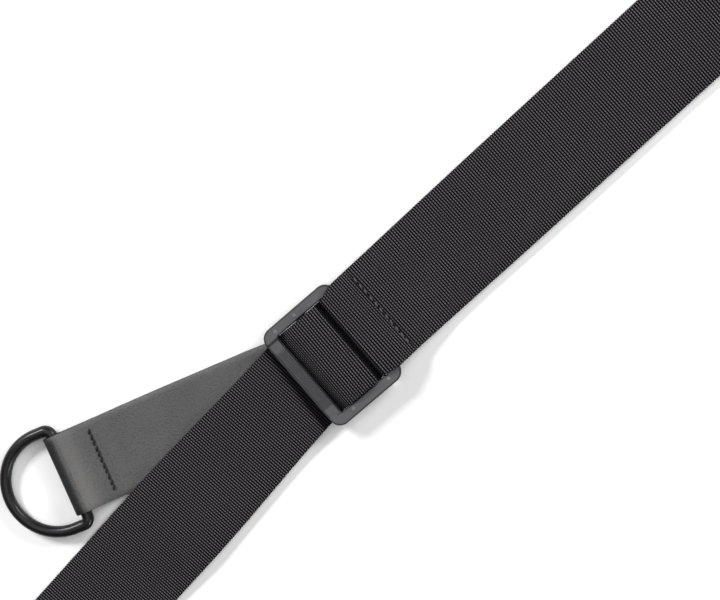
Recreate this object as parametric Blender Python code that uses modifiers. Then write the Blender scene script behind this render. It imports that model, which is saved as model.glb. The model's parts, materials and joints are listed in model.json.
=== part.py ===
"""Guitar strap with a quick-adjust slider, lying on its back.

Metres, +Z up. +X runs along the slider towards the doubled end of the strap and +Y runs across it.
The strap lies on the plane z = 0, and its bounding box is centred on the Z axis.
Every part is built in the local frame of an empty, and a moving part's empty sits on its joint's axis.
"""

import math

import bmesh
import bpy
from mathutils import Vector

MM = 0.001

# Materials the strap is cut from
WEBBING_THICKNESS = 0.0014
WEBBING_HALF_WIDTH = 0.0254
LEATHER_THICKNESS = 0.0015
END_LEATHER_THICKNESS = 0.0016
THREAD_RADIUS = 0.00035
CLEARANCE = 0.0003

# Slider: a moulded tri-bar buckle, length along X and width along Y
SLIDER_LENGTH = 0.040
SLIDER_WIDTH = 0.0536
SLIDER_THICKNESS = 0.004
SLIDER_BOTTOM = 0.0054
SLIDER_CORNER_RADIUS = 0.0045
SLOT_HALF_WIDTH = 0.02225
SLOT_START = 0.003
SLOT_END = 0.0139
SLOT_CORNER_RADIUS = 0.0012
CENTRE_BAR_DROP = 0.0016
SQUEEZED_HALF_WIDTH = 0.0219

# Pull tab and D-ring
TAB_PIVOT = Vector((0, -0.003, 0))
TAB_HEADING = 180 - 17.28
TAB_HALF_WIDTH = 0.0201
TAB_FOLD_HALF_WIDTH = 0.0194
BAR_WRAP_HALF_WIDTH = 0.0198
RING_DISTANCE = 0.1383
RING_WIRE_RADIUS = 0.0026
RING_HALF_WIDTH = 0.0230
RING_STRAIGHT = 0.008
RING_CORNER_RADIUS = 0.0034
RING_BAR_HEIGHT = 0.00445
RING_DROOP = 3.0

# Doubled end: two legs of webbing, a wire loop and a leather button tab
LEG_START = Vector((0.020, -0.0019, 0))
LEG_HEADING = 2.6
LOOP_DISTANCE = 0.232
LOOP_WIRE_RADIUS = 0.002
LOOP_HEIGHT = 0.0042
LOOP_BAR_SPACING = 0.016
LOOP_HALF_WIDTH = 0.02825
LOOP_CORNER_RADIUS = 0.004

# Shoulder end: the long run of webbing, folded away, with the other button tab on top
SHOULDER_START = Vector((-0.0224, -0.0018, 0))
SHOULDER_HEADING = 187.25
BUNDLE_START = 0.172
BUNDLE_LENGTH = 0.148
BUNDLE_HEIGHT = 0.009
END_TAB_LENGTH = 0.092
END_TAB_TIP_RADIUS = 0.014
BUTTON_HOLE_RADIUS = 0.0042
BUTTON_HOLE_DISTANCE = 0.076
BUTTON_SLIT_LENGTH = 0.012
BUTTON_SLIT_HALF_WIDTH = 0.0006


def mm(points):
    """Turns a list of points in millimetres into metres."""
    return [tuple(value * MM for value in point) for point in points]


def clear_scene():
    """Removes every object and makes the collections for the parts and the cutters."""
    for obj in list(bpy.data.objects):
        bpy.data.objects.remove(obj)
    made = []
    for name in ("guitar_strap", "cutters"):
        collection = bpy.data.collections.new(name)
        bpy.context.scene.collection.children.link(collection)
        made.append(collection)
    return made


PARTS, CUTTERS = clear_scene()


def material(name, colour, roughness, metallic=0.0):
    """A Principled material with one colour."""
    made = bpy.data.materials.new(name)
    made.use_nodes = True
    shader = made.node_tree.nodes["Principled BSDF"]
    shader.inputs["Base Color"].default_value = (*colour, 1)
    shader.inputs["Roughness"].default_value = roughness
    shader.inputs["Metallic"].default_value = metallic
    return made


WEBBING = material("black_webbing", (0.022, 0.021, 0.023), 0.8)
LEATHER = material("charcoal_leather", (0.10, 0.10, 0.105), 0.6)
PLASTIC = material("black_plastic", (0.035, 0.035, 0.038), 0.45)
METAL = material("black_metal", (0.02, 0.02, 0.022), 0.25, 1.0)
THREAD = material("black_thread", (0.01, 0.01, 0.01), 0.7)


def frame(name, location, heading=0.0, parent=None, tilt=0.0):
    """An empty that parts are built on: heading turns it about Z and tilt about its own Y."""
    empty = bpy.data.objects.new(name, None)
    empty.location = location
    empty.rotation_euler = (0, math.radians(tilt), math.radians(heading))
    empty.parent = parent
    PARTS.objects.link(empty)
    return empty


def finish(obj, parent, finish_material, collection=PARTS):
    """Puts a new object on its frame with its material."""
    collection.objects.link(obj)
    obj.parent = parent
    if finish_material:
        obj.data.materials.append(finish_material)
    return obj


def smooth_path(points, per_span=4):
    """A Catmull-Rom curve through the points, read at per_span places in each span."""
    ends = [points[0], *points, points[-1]]
    path = []
    for p0, p1, p2, p3 in zip(ends, ends[1:], ends[2:], ends[3:]):
        for step in range(per_span):
            t = step / per_span
            path.append(tuple(
                0.5 * (2 * b + (c - a) * t + (2 * a - 5 * b + 4 * c - d) * t * t
                       + (3 * b - a - 3 * c + d) * t ** 3)
                for a, b, c, d in zip(p0, p1, p2, p3)
            ))
    return [*path, tuple(points[-1])]


def ribbon(name, parent, path, thickness, half_width, finish_material):
    """A strip that follows a path in its frame's XZ plane: an open surface across Y, thickened.

    half_width is a number, or a function of the place along the path as (x, z).
    """
    widths = [half_width(x, z) if callable(half_width) else half_width for x, z in path]
    bm = bmesh.new()
    side = [bm.verts.new((x, -width, z)) for (x, z), width in zip(path, widths)]
    edges = [bm.edges.new(pair) for pair in zip(side, side[1:])]
    grown = bmesh.ops.extrude_edge_only(bm, edges=edges)["geom"]
    for vert in grown:
        if isinstance(vert, bmesh.types.BMVert):
            vert.co.y = -vert.co.y
    mesh = bpy.data.meshes.new(name)
    bm.to_mesh(mesh)
    bm.free()
    obj = finish(bpy.data.objects.new(name, mesh), parent, finish_material)
    wall = obj.modifiers.new("thickness", "SOLIDIFY")
    wall.thickness = thickness
    wall.offset = 0
    wall.use_even_offset = True
    return obj


def arc(centre, radius, start, end, steps):
    """Points on an arc, from one angle to another in degrees."""
    turns = [math.radians(start + (end - start) * i / steps) for i in range(steps + 1)]
    return [(centre[0] + radius * math.cos(a), centre[1] + radius * math.sin(a)) for a in turns]


def rounded_rectangle(low, high, radius, steps=6):
    """A closed outline from the low corner to the high one, with rounded corners."""
    (x0, y0), (x1, y1) = low, high
    corners = [
        ((x1 - radius, y1 - radius), 0),
        ((x0 + radius, y1 - radius), 90),
        ((x0 + radius, y0 + radius), 180),
        ((x1 - radius, y0 + radius), 270),
    ]
    return [p for centre, turn in corners for p in arc(centre, radius, turn, turn + 90, steps)]


def flat_solid(name, parent, outlines, bottom, thickness, finish_material, collection=PARTS):
    """A flat mesh solid with the outlines' shape; outlines inside the first are holes."""
    curve = bpy.data.curves.new(name, "CURVE")
    curve.dimensions = "2D"
    curve.fill_mode = "BOTH"
    curve.extrude = thickness / 2
    for outline in outlines:
        spline = curve.splines.new("POLY")
        spline.points.add(len(outline) - 1)
        for point, (x, y) in zip(spline.points, outline):
            point.co = (x, y, 0, 1)
        spline.use_cyclic_u = True
    guide = bpy.data.objects.new(name + "_outline", curve)
    collection.objects.link(guide)
    guide.location.z = bottom + thickness / 2
    return curve_to_mesh(guide, name, parent, finish_material, collection)


def curve_to_mesh(guide, name, parent, finish_material, collection=PARTS):
    """Turns a curve object into a welded mesh object on the frame, and removes the curve."""
    bpy.context.view_layer.update()
    place = guide.matrix_world.copy()
    mesh = bpy.data.meshes.new_from_object(guide.evaluated_get(bpy.context.evaluated_depsgraph_get()))
    mesh.name = name
    mesh.transform(place)
    bpy.data.objects.remove(guide)
    bm = bmesh.new()
    bm.from_mesh(mesh)
    bmesh.ops.remove_doubles(bm, verts=bm.verts, dist=0.00001)
    bmesh.ops.recalc_face_normals(bm, faces=bm.faces)
    bm.to_mesh(mesh)
    bm.free()
    mesh.materials.clear()
    return finish(bpy.data.objects.new(name, mesh), parent, finish_material, collection)


def wire(name, parent, points, radius, finish_material, closed=True):
    """Round wire or thread whose centreline follows points (x, y, z) in the frame."""
    curve = bpy.data.curves.new(name, "CURVE")
    curve.dimensions = "3D"
    curve.bevel_depth = radius
    curve.bevel_resolution = 2
    curve.use_fill_caps = not closed
    spline = curve.splines.new("POLY")
    spline.points.add(len(points) - 1)
    for point, place in zip(spline.points, points):
        point.co = (*place, 1)
    spline.use_cyclic_u = closed
    return finish(bpy.data.objects.new(name, curve), parent, finish_material)


def seam_across(name, parent, x, z, half_length):
    """The thread of a seam sewn straight across a strap."""
    return wire(name, parent, [(x, -half_length, z), (x, 0, z), (x, half_length, z)], THREAD_RADIUS, THREAD, False)


def seam_box(name, parent, low, high, z):
    """The thread of a seam sewn round a rectangle."""
    corners = rounded_rectangle(low, high, 0.0015, 2)
    return wire(name, parent, [(x, y, z) for x, y in corners], THREAD_RADIUS, THREAD)


def cut(obj, cutter):
    """Cuts one solid out of another, and keeps the cutter out of sight."""
    cutter.hide_render = True
    cutter.display_type = "WIRE"
    modifier = obj.modifiers.new("cut", "BOOLEAN")
    modifier.operation = "DIFFERENCE"
    modifier.object = cutter


def button_hole(name, parent, distance, direction):
    """The keyhole cutter of a button tab: a round hole with a slit towards the strap."""
    slit_angle = math.degrees(math.asin(BUTTON_SLIT_HALF_WIDTH / BUTTON_HOLE_RADIUS))
    outline = arc((0, 0), BUTTON_HOLE_RADIUS, -180 + slit_angle, 180 - slit_angle, 24)
    outline += [
        (-BUTTON_HOLE_RADIUS - BUTTON_SLIT_LENGTH, BUTTON_SLIT_HALF_WIDTH),
        (-BUTTON_HOLE_RADIUS - BUTTON_SLIT_LENGTH, -BUTTON_SLIT_HALF_WIDTH),
    ]
    outline = [(distance + direction * x, direction * y) for x, y in outline]
    return flat_solid(name, parent, [outline], -0.006, 0.032, None, CUTTERS)


def end_tab_half_width(reach):
    """Half the width of a button tab at a distance from its fold: parallel, tapered, round tip."""
    taper_start, tip_centre = 0.026, END_TAB_LENGTH - END_TAB_TIP_RADIUS
    if reach > tip_centre:
        rest = max(END_TAB_TIP_RADIUS ** 2 - (reach - tip_centre) ** 2, 0)
        return max(math.sqrt(rest), 0.0008)
    share = min(max((reach - taper_start) / (tip_centre - taper_start), 0), 1)
    ease = share * share * (3 - 2 * share)
    return WEBBING_HALF_WIDTH + (END_TAB_TIP_RADIUS - WEBBING_HALF_WIDTH) * ease


def tab_tip_points():
    """Distances that close a button tab's round tip."""
    tip_centre = END_TAB_LENGTH - END_TAB_TIP_RADIUS
    return [tip_centre + END_TAB_TIP_RADIUS * math.sin(math.radians(a)) for a in range(15, 91, 15)]


def make_slider(root):
    """The moulded slider: a frame with two slots and a lower centre bar."""
    half_length, half_width = SLIDER_LENGTH / 2, SLIDER_WIDTH / 2
    outlines = [
        rounded_rectangle((-half_length, -half_width), (half_length, half_width), SLIDER_CORNER_RADIUS),
        rounded_rectangle((-SLOT_END, -SLOT_HALF_WIDTH), (-SLOT_START, SLOT_HALF_WIDTH), SLOT_CORNER_RADIUS, 3),
        rounded_rectangle((SLOT_START, -SLOT_HALF_WIDTH), (SLOT_END, SLOT_HALF_WIDTH), SLOT_CORNER_RADIUS, 3),
    ]
    slider = flat_solid("slider_frame", root, outlines, SLIDER_BOTTOM, SLIDER_THICKNESS, PLASTIC)
    relief = [(-0.007, -SLOT_HALF_WIDTH), (0.007, -SLOT_HALF_WIDTH), (0.007, SLOT_HALF_WIDTH),
              (-0.007, SLOT_HALF_WIDTH)]
    top = SLIDER_BOTTOM + SLIDER_THICKNESS
    cut(slider, flat_solid("centre_bar_relief", root, [relief], top - CENTRE_BAR_DROP, 0.003, None, CUTTERS))
    return slider


def make_webbing_at_slider(root):
    """The webbing that passes through the slider, and the end sewn round its outer bar."""

    def squeezed(x, _z):
        share = min(max((abs(x) - 0.0145) / 0.006, 0), 1)
        return SQUEEZED_HALF_WIDTH + (WEBBING_HALF_WIDTH - SQUEEZED_HALF_WIDTH) * share

    through = smooth_path(mm([
        (-30, 4.0), (-26, 4.35), (-20, 4.42), (-16, 4.42), (-13.2, 4.65), (-11.4, 6.3), (-8.3, 9.2), (-4.3, 10.6),
        (0, 10.8), (4.0, 10.5), (6.9, 9.0), (8.2, 6.4), (9.3, 3.9), (12, 2.4), (16, 2.1), (24, 2.0),
    ]))
    ribbon("webbing_through_slider", root, through, WEBBING_THICKNESS, squeezed, WEBBING)
    sewn = smooth_path(mm([
        (40, 4.5), (36, 4.85), (30.5, 5.9), (25, 8.8), (20.8, 10.45), (17, 10.65), (14.8, 10.6), (13.0, 10.25),
        (12.35, 9.0), (12.3, 7.2), (12.4, 5.6), (13.1, 4.55), (15, 4.3), (17, 4.3), (22, 4.3), (28, 4.0),
        (34, 3.25), (37.5, 2.95),
    ]))
    ribbon("webbing_sewn_loop", root, sewn, WEBBING_THICKNESS, squeezed, WEBBING)
    height = 0.0059 + WEBBING_THICKNESS / 2 + CLEARANCE + THREAD_RADIUS + 0.0004
    seam_across("sewn_loop_stitching", root, 0.0305, height, 0.0205)


def make_bar_wrap(root):
    """The leather turn of the pull tab round the slider's centre bar."""
    path = smooth_path(mm([
        (-26, 0.9), (-18, 0.9), (-11.5, 1.1), (-6.5, 2.9), (-2.5, 4.2), (1.5, 4.3), (4.3, 5.0), (4.9, 6.5),
        (4.1, 8.1), (1.8, 8.85), (-1.8, 8.85), (-4.2, 8.1), (-5.2, 6.6), (-6.6, 4.9), (-10.5, 2.95),
        (-15, 2.7), (-26, 2.7),
    ]))
    ribbon("bar_wrap", root, path, LEATHER_THICKNESS, BAR_WRAP_HALF_WIDTH, LEATHER)


def make_pull_tab(root):
    """The leather tab, folded and sewn round the D-ring's bar."""
    pivot = frame("pull_tab_pivot", TAB_PIVOT, TAB_HEADING, root)
    path = smooth_path(mm([
        (40, 0.8), (70, 0.8), (98, 0.8), (107, 0.9), (112, 1.2), (116.5, 2.3), (121.3, 2.75), (127, 3.8),
        (132, 6.2), (136, 7.9), (139, 8.1), (141.2, 7.0), (142, 4.8), (141.3, 2.4), (138.6, 0.9), (132, 0.8),
        (118, 0.8),
    ]))

    def narrowed(x, _z):
        share = min(max((x - 0.122) / 0.008, 0), 1)
        return TAB_HALF_WIDTH + (TAB_FOLD_HALF_WIDTH - TAB_HALF_WIDTH) * share

    ribbon("pull_tab", pivot, path, LEATHER_THICKNESS, narrowed, LEATHER)
    height = 0.00275 + LEATHER_THICKNESS / 2 + CLEARANCE + THREAD_RADIUS + 0.0002
    seam_across("pull_tab_stitching", pivot, 0.1213, height, 0.0158)
    axis = frame("d_ring_axis", (RING_DISTANCE, 0, RING_BAR_HEIGHT), 0, pivot, RING_DROOP)
    half, corner, straight = RING_HALF_WIDTH, RING_CORNER_RADIUS, RING_STRAIGHT
    outline = arc((corner, corner - half), corner, 180, 270, 5)
    outline += arc((straight, 0), half, -90, 90, 24)
    outline += arc((corner, half - corner), corner, 90, 180, 5)
    wire("d_ring", axis, [(x, y, 0) for x, y in outline], RING_WIRE_RADIUS, METAL)


def make_doubled_end(root):
    """The two legs of webbing, the wire loop they turn round, and the button tab on the loop."""
    legs = frame("leg_frame", LEG_START, LEG_HEADING, root)
    top = smooth_path(mm([(21.8, 4.3), (28, 3.4), (40, 2.8), (110, 2.75), (185, 2.8), (205, 3.9), (221.5, 6.4)]))
    ribbon("webbing_top_leg", legs, top, WEBBING_THICKNESS, WEBBING_HALF_WIDTH, WEBBING)
    under = smooth_path(mm([(5.9, 1.8), (16, 1.2), (40, 1.0), (110, 1.0), (190, 1.0), (221.5, 1.2)]))
    ribbon("webbing_under_leg", legs, under, WEBBING_THICKNESS, WEBBING_HALF_WIDTH, WEBBING)

    bight_frame = frame("loop_bight_frame", (LOOP_DISTANCE, 0, LOOP_HEIGHT), 0, legs)
    turn = LOOP_WIRE_RADIUS + CLEARANCE + WEBBING_THICKNESS / 2
    bight = [(-0.010, 0.0024), (-0.005, 0.0029), *arc((0, 0), turn, 90, -90, 10), (-0.005, -turn), (-0.010, -turn)]
    ribbon("webbing_loop_bight", bight_frame, bight, WEBBING_THICKNESS, WEBBING_HALF_WIDTH, WEBBING)

    loop_axis = frame("wire_loop_axis", (0, 0, 0), 0, bight_frame)
    outline = rounded_rectangle(
        (0, -LOOP_HALF_WIDTH), (LOOP_BAR_SPACING, LOOP_HALF_WIDTH), LOOP_CORNER_RADIUS, 5
    )
    wire("wire_loop", loop_axis, [(x, y, 0) for x, y in outline], LOOP_WIRE_RADIUS, METAL)

    tab_axis = frame("button_tab_a_axis", (LOOP_BAR_SPACING, 0, 0), 0, loop_axis)
    fold = LOOP_WIRE_RADIUS + CLEARANCE + END_LEATHER_THICKNESS / 2
    low = END_LEATHER_THICKNESS / 2 - LOOP_HEIGHT
    high = low + END_LEATHER_THICKNESS + CLEARANCE
    reach = [0.030, 0.040, 0.050, 0.060, 0.070, 0.078, *tab_tip_points()]
    upper = smooth_path([(0.024, high), (0.017, high + 0.0007), (0.010, high + 0.0028), (0.004, fold - 0.0003)], 3)
    path = [(x, high) for x in reversed(reach)] + upper + arc((0, 0), fold, 80, 270, 10)
    path += [(0.006, low), (0.012, low), (0.024, low)] + [(x, low) for x in reach]
    tab = ribbon("button_tab_a", tab_axis, path, END_LEATHER_THICKNESS, lambda x, _z: end_tab_half_width(x), LEATHER)
    cut(tab, button_hole("button_hole_a", tab_axis, BUTTON_HOLE_DISTANCE, 1))
    height = high + END_LEATHER_THICKNESS / 2 + CLEARANCE + THREAD_RADIUS
    seam_across("button_tab_a_stitching", tab_axis, 0.026, height, 0.0225)


def make_shoulder_end(root):
    """The shoulder run, the folded bundle, the tail on top of it and its button tab."""
    shoulder = frame("shoulder_frame", SHOULDER_START, SHOULDER_HEADING, root)
    run = smooth_path(mm([
        (13, 3.5), (22, 2.9), (50, 2.7), (75, 3.0), (88, 3.35), (105, 2.7), (125, 1.6), (145, 1.05), (171.4, 1.0),
    ]))
    ribbon("webbing_shoulder_run", shoulder, run, WEBBING_THICKNESS, WEBBING_HALF_WIDTH, WEBBING)

    bundle_frame = frame("bundle_frame", (BUNDLE_START, WEBBING_HALF_WIDTH, 0), 0, shoulder)
    bundle_frame.rotation_euler.x = math.radians(90)
    outline = rounded_rectangle((0, 0), (BUNDLE_LENGTH, BUNDLE_HEIGHT), 0.0044)
    flat_solid("webbing_bundle", bundle_frame, [outline], 0, 2 * WEBBING_HALF_WIDTH, WEBBING)

    back = BUNDLE_HEIGHT + CLEARANCE + END_LEATHER_THICKNESS / 2
    tail = back + END_LEATHER_THICKNESS / 2 + CLEARANCE + WEBBING_THICKNESS / 2
    front = tail + WEBBING_THICKNESS / 2 + CLEARANCE + END_LEATHER_THICKNESS / 2
    closed = back + END_LEATHER_THICKNESS + CLEARANCE
    start = 0.288
    tail_path = smooth_path([(0.262, tail), (0.275, tail), (0.290, tail), (0.300, tail - 0.001), (0.312, tail - 0.0018)])
    ribbon("webbing_tail", shoulder, tail_path, WEBBING_THICKNESS, WEBBING_HALF_WIDTH, WEBBING)

    def width(x, _z):
        return end_tab_half_width(start - x)

    reach = [0.034, 0.040, 0.050, 0.060, 0.070, 0.078, *tab_tip_points()]
    front_path = [(start, front), (start - 0.012, front), (start - 0.025, front), (start - 0.029, front - 0.0006)]
    front_path += [(start - x, closed) for x in reach]
    back_path = [(start - x, back) for x in (0, 0.012, 0.025, *reach)]
    hole = start - BUTTON_HOLE_DISTANCE
    for name, path in (("button_tab_b_front", front_path), ("button_tab_b_back", back_path)):
        tab = ribbon(name, shoulder, path, END_LEATHER_THICKNESS, width, LEATHER)
        cut(tab, button_hole(name + "_hole", shoulder, hole, -1))
    height = front + END_LEATHER_THICKNESS / 2 + CLEARANCE + THREAD_RADIUS
    seam_box("button_tab_b_stitching", shoulder, (start - 0.023, -0.0225), (start - 0.004, 0.0225), height)


def centre(root):
    """Moves the whole strap so that its box is centred on the Z axis, and returns the move."""
    bpy.context.view_layer.update()
    graph = bpy.context.evaluated_depsgraph_get()
    corners = []
    for obj in PARTS.objects:
        if obj.type != "EMPTY":
            shape = obj.evaluated_get(graph)
            mesh = shape.to_mesh()
            corners += [shape.matrix_world @ vert.co for vert in mesh.vertices]
            shape.to_mesh_clear()
    low = Vector(min(c[i] for c in corners) for i in range(3))
    high = Vector(max(c[i] for c in corners) for i in range(3))
    root.location = Vector((-(low.x + high.x) / 2, -(low.y + high.y) / 2, -low.z))
    bpy.context.view_layer.update()
    return root.location


def main():
    """Builds the strap."""
    root = frame("strap_frame", (0, 0, 0))
    make_slider(root)
    make_webbing_at_slider(root)
    make_bar_wrap(root)
    make_pull_tab(root)
    make_doubled_end(root)
    make_shoulder_end(root)
    return centre(root)


main()
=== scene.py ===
"""Guitar strap with a quick-adjust slider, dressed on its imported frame.

The strap lies on its back on a pale surface. Places along it are runs: metres from the slider's middle,
positive towards the doubled end. A lane turns a run into a place on the surface. Each strip of webbing or
leather is a section carried along a path of (run, height) points, and each sub-assembly is a class.
"""

import json
import logging
import math
import sys
from collections.abc import Callable
from dataclasses import dataclass, field
from enum import Enum

import bpy
import numpy as np
from mathutils import Matrix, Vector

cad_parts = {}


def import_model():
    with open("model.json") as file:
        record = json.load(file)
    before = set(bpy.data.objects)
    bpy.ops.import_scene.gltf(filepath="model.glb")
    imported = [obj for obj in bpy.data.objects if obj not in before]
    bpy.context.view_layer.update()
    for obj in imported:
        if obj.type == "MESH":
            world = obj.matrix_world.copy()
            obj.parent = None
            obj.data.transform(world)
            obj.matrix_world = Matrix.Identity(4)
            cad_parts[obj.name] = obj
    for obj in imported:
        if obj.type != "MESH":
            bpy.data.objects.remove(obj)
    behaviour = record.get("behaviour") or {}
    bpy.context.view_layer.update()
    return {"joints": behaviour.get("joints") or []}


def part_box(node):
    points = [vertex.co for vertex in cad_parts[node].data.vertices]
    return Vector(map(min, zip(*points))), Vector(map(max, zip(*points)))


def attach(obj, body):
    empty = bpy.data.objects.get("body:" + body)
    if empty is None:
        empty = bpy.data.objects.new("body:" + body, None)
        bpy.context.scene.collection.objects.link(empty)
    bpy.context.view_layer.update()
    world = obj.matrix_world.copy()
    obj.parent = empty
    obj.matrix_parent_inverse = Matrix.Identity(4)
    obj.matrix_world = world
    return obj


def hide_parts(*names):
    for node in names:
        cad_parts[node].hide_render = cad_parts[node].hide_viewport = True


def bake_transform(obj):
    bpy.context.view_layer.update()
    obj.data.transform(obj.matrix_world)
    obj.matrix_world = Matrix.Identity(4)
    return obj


LOG = logging.getLogger("guitar_strap")
MM = 0.001
TAU = 2 * math.pi
UPWARDS = np.array([0.0, 0.0, 1.0])

Colour = tuple[float, float, float]
Socket = bpy.types.NodeSocket
# A function that gives each point's painted shade, below zero its painted highlight.
PaintedLightMask = Callable[[np.ndarray, np.ndarray], np.ndarray]


class Slot(Enum):
    """The record's material slots."""

    WEBBING = "webbing"
    LEATHER = "leather"
    PLASTIC = "plastic"
    METAL = "metal"
    THREAD = "thread"


class Hold(Enum):
    """How a strip of webbing or leather is held."""

    LAID = "laid"
    FOLDED = "folded"


# ---------------------------------------------------------------- shapes


def smooth_share(value: np.ndarray, low: float, high: float) -> np.ndarray:
    """Goes from 0 at low to 1 at high along 3t^2 - 2t^3.

    Args:
        value: The numbers to place between low and high.
        low: Where the share is 0.
        high: Where the share is 1.

    Returns:
        The share for each number.
    """
    t = np.clip((np.asarray(value, float) - low) / (high - low), 0, 1)
    return t * t * (3 - 2 * t)


def walk(path: np.ndarray) -> np.ndarray:
    """How far each row of a path is from its start: the running sum of the steps between rows."""
    return np.concatenate([[0], np.cumsum(np.linalg.norm(np.diff(path, axis=0), axis=1))])


def flowing_path(points: list[tuple[float, float]], step: float) -> np.ndarray:
    """Draws a smooth path through points in millimetres and reads it at even steps.

    Each span is a cubic Hermite curve. The slope at a point is the mean of its two chords' slopes, each
    weighted by the other chord's length, so that short and long spans meet without a loop.

    Args:
        points: (run, height) pairs in millimetres.
        step: The distance between two readings, in metres.

    Returns:
        An array of (run, height) rows in metres, about one step apart.
    """
    place = np.array(points, float) * MM
    chord = np.diff(place, axis=0)
    length = np.linalg.norm(chord, axis=1)
    slope = chord / length[:, None]
    before, after = length[:-1, None], length[1:, None]
    inner = (slope[:-1] * after + slope[1:] * before) / (before + after)
    tangent = np.vstack([slope[:1], inner, slope[-1:]])
    t = np.linspace(0, 1, 60, endpoint=False)[None, :, None]
    start, end = place[:-1, None], place[1:, None]
    leave = tangent[:-1, None] * length[:, None, None]
    arrive = tangent[1:, None] * length[:, None, None]
    curve = (
        (2 * t**3 - 3 * t**2 + 1) * start
        + (t**3 - 2 * t**2 + t) * leave
        + (3 * t**2 - 2 * t**3) * end
        + (t**3 - t**2) * arrive
    )
    dense = np.vstack([curve.reshape(-1, 2), place[-1:]])
    walked = walk(dense)
    count = max(int(round(walked[-1] / step)), 2)
    at = np.linspace(0, walked[-1], count + 1)
    return np.column_stack([np.interp(at, walked, dense[:, 0]), np.interp(at, walked, dense[:, 1])])


@dataclass(frozen=True)
class Lane:
    """A straight line on the surface.

    Attributes:
        x: Where the lane's own start is, across the world.
        y: Where the lane's own start is, along the world's Y.
        run: The run of that start.
        heading: Degrees from +X to the way that runs grow.
    """

    x: float
    y: float
    run: float
    heading: float

    def along(self) -> np.ndarray:
        """The unit vector in which runs grow."""
        turn = math.radians(self.heading)
        return np.array([math.cos(turn), math.sin(turn)])

    def left(self) -> np.ndarray:
        """The unit vector to the left of that way."""
        turn = math.radians(self.heading)
        return np.array([-math.sin(turn), math.cos(turn)])

    def at(self, run: np.ndarray) -> np.ndarray:
        """The places of runs: start + (run - start's run) x along."""
        return np.array([self.x, self.y]) + (np.asarray(run, float) - self.run)[..., None] * self.along()

    def spot(self, run: float, across: float, height: float) -> tuple[float, float, float]:
        """The world place of a run, a distance to the left of the lane and a height."""
        place = self.at(np.array(run)) + across * self.left()
        return float(place[0]), float(place[1]), height


@dataclass(frozen=True)
class Course:
    """The line that a strip follows: the slider's lane, eased into another on one or both sides.

    Attributes:
        middle: The slider's lane.
        ahead: The lane for large runs, or None.
        behind: The lane for runs below zero, or None.
        ahead_span: The runs between which middle turns into ahead.
        behind_span: The distances below zero between which middle turns into behind.
    """

    middle: Lane
    ahead: Lane | None = None
    behind: Lane | None = None
    ahead_span: tuple[float, float] = (0.008, 0.024)
    behind_span: tuple[float, float] = (0.008, 0.022)

    def follow(self, run: np.ndarray) -> tuple[np.ndarray, np.ndarray]:
        """Mixes the lanes' places and left vectors by smooth_share of the run.

        Args:
            run: The runs to place.

        Returns:
            The places and the left vectors, as (n, 2) arrays.
        """
        place = self.middle.at(run)
        left = np.broadcast_to(self.middle.left(), place.shape)
        for lane, share in (
            (self.ahead, smooth_share(run, *self.ahead_span)),
            (self.behind, smooth_share(-run, *self.behind_span)),
        ):
            if lane is not None:
                mix = share[:, None]
                place = (1 - mix) * place + mix * lane.at(run)
                left = (1 - mix) * left + mix * lane.left()
        return place, left / np.linalg.norm(left, axis=1, keepdims=True)


def make_mesh(
    name: str,
    grids: np.ndarray,
    chart: np.ndarray | None = None,
    ring: bool = False,
    edge: np.ndarray | None = None,
) -> bpy.types.Object:
    """Puts one or more tube-like grids into one mesh, closed, with normals out.

    A grid has rows along the shape and columns round it. The last column joins the first. The last row joins
    the first on a ring, and otherwise both end rows are closed with a flat face.

    Args:
        name: The piece's name.
        grids: Points as (grid, row, column, 3).
        chart: UV places as (row, column, 2), in metres, or None. They are the same on each grid.
        ring: Whether the rows close too.
        edge: How dark each point is as a dark edge and as painted shade, below zero its painted highlight, as
            (row, column), or None.

    Returns:
        The new object, linked to the scene.
    """
    many, rows, columns = grids.shape[:3]
    row = np.arange(rows if ring else rows - 1)
    column = np.arange(columns)
    i, j = np.meshgrid(row, column, indexing="ij")
    i2, j2 = (i + 1) % rows, (j + 1) % columns
    here, there = i * columns, i2 * columns
    quads = np.stack([here + j, there + j, there + j2, here + j2], -1).reshape(-1, 4)
    caps = np.zeros((0, columns), int) if ring else np.stack([column, (rows - 1) * columns + column[::-1]])
    first = grids[0].reshape(-1, 3)
    middle = first.mean(0)
    a, b, c, d = (first[quads[:, k]] - middle for k in range(4))
    if float((np.cross(a, b) * c).sum() + (np.cross(a, c) * d).sum()) < 0:
        quads, caps = quads[:, ::-1], caps[:, ::-1]
    shift = np.arange(many)[:, None, None] * rows * columns
    loops = np.concatenate([(quads[None] + shift).reshape(-1), (caps[None] + shift).reshape(-1)])
    sizes = np.concatenate([np.full(many * len(quads), 4), np.full(many * len(caps), columns)])
    mesh = bpy.data.meshes.new(name)
    mesh.vertices.add(many * rows * columns)
    mesh.vertices.foreach_set("co", grids.reshape(-1).astype(np.float32))
    mesh.loops.add(len(loops))
    mesh.loops.foreach_set("vertex_index", loops.astype(np.int32))
    mesh.polygons.add(len(sizes))
    mesh.polygons.foreach_set("loop_start", (np.cumsum(sizes) - sizes).astype(np.int32))
    mesh.polygons.foreach_set("use_smooth", np.ones(len(sizes), bool))
    if chart is not None:
        flat = np.tile(chart.reshape(-1, 2), (many, 1))
        mesh.uv_layers.new(name="chart").data.foreach_set("uv", flat[loops].reshape(-1).astype(np.float32))
    if edge is not None:
        # The attribute carries dark edges, painted shade and, below zero, painted highlight.
        cut = mesh.attributes.new("dark_edge_and_painted_light", "FLOAT", "POINT")
        cut.data.foreach_set("value", np.tile(edge.reshape(-1), many).astype(np.float32))
    mesh.update(calc_edges=True)
    mesh.validate()
    made = bpy.data.objects.new(name, mesh)
    bpy.context.scene.collection.objects.link(made)
    return made


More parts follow.
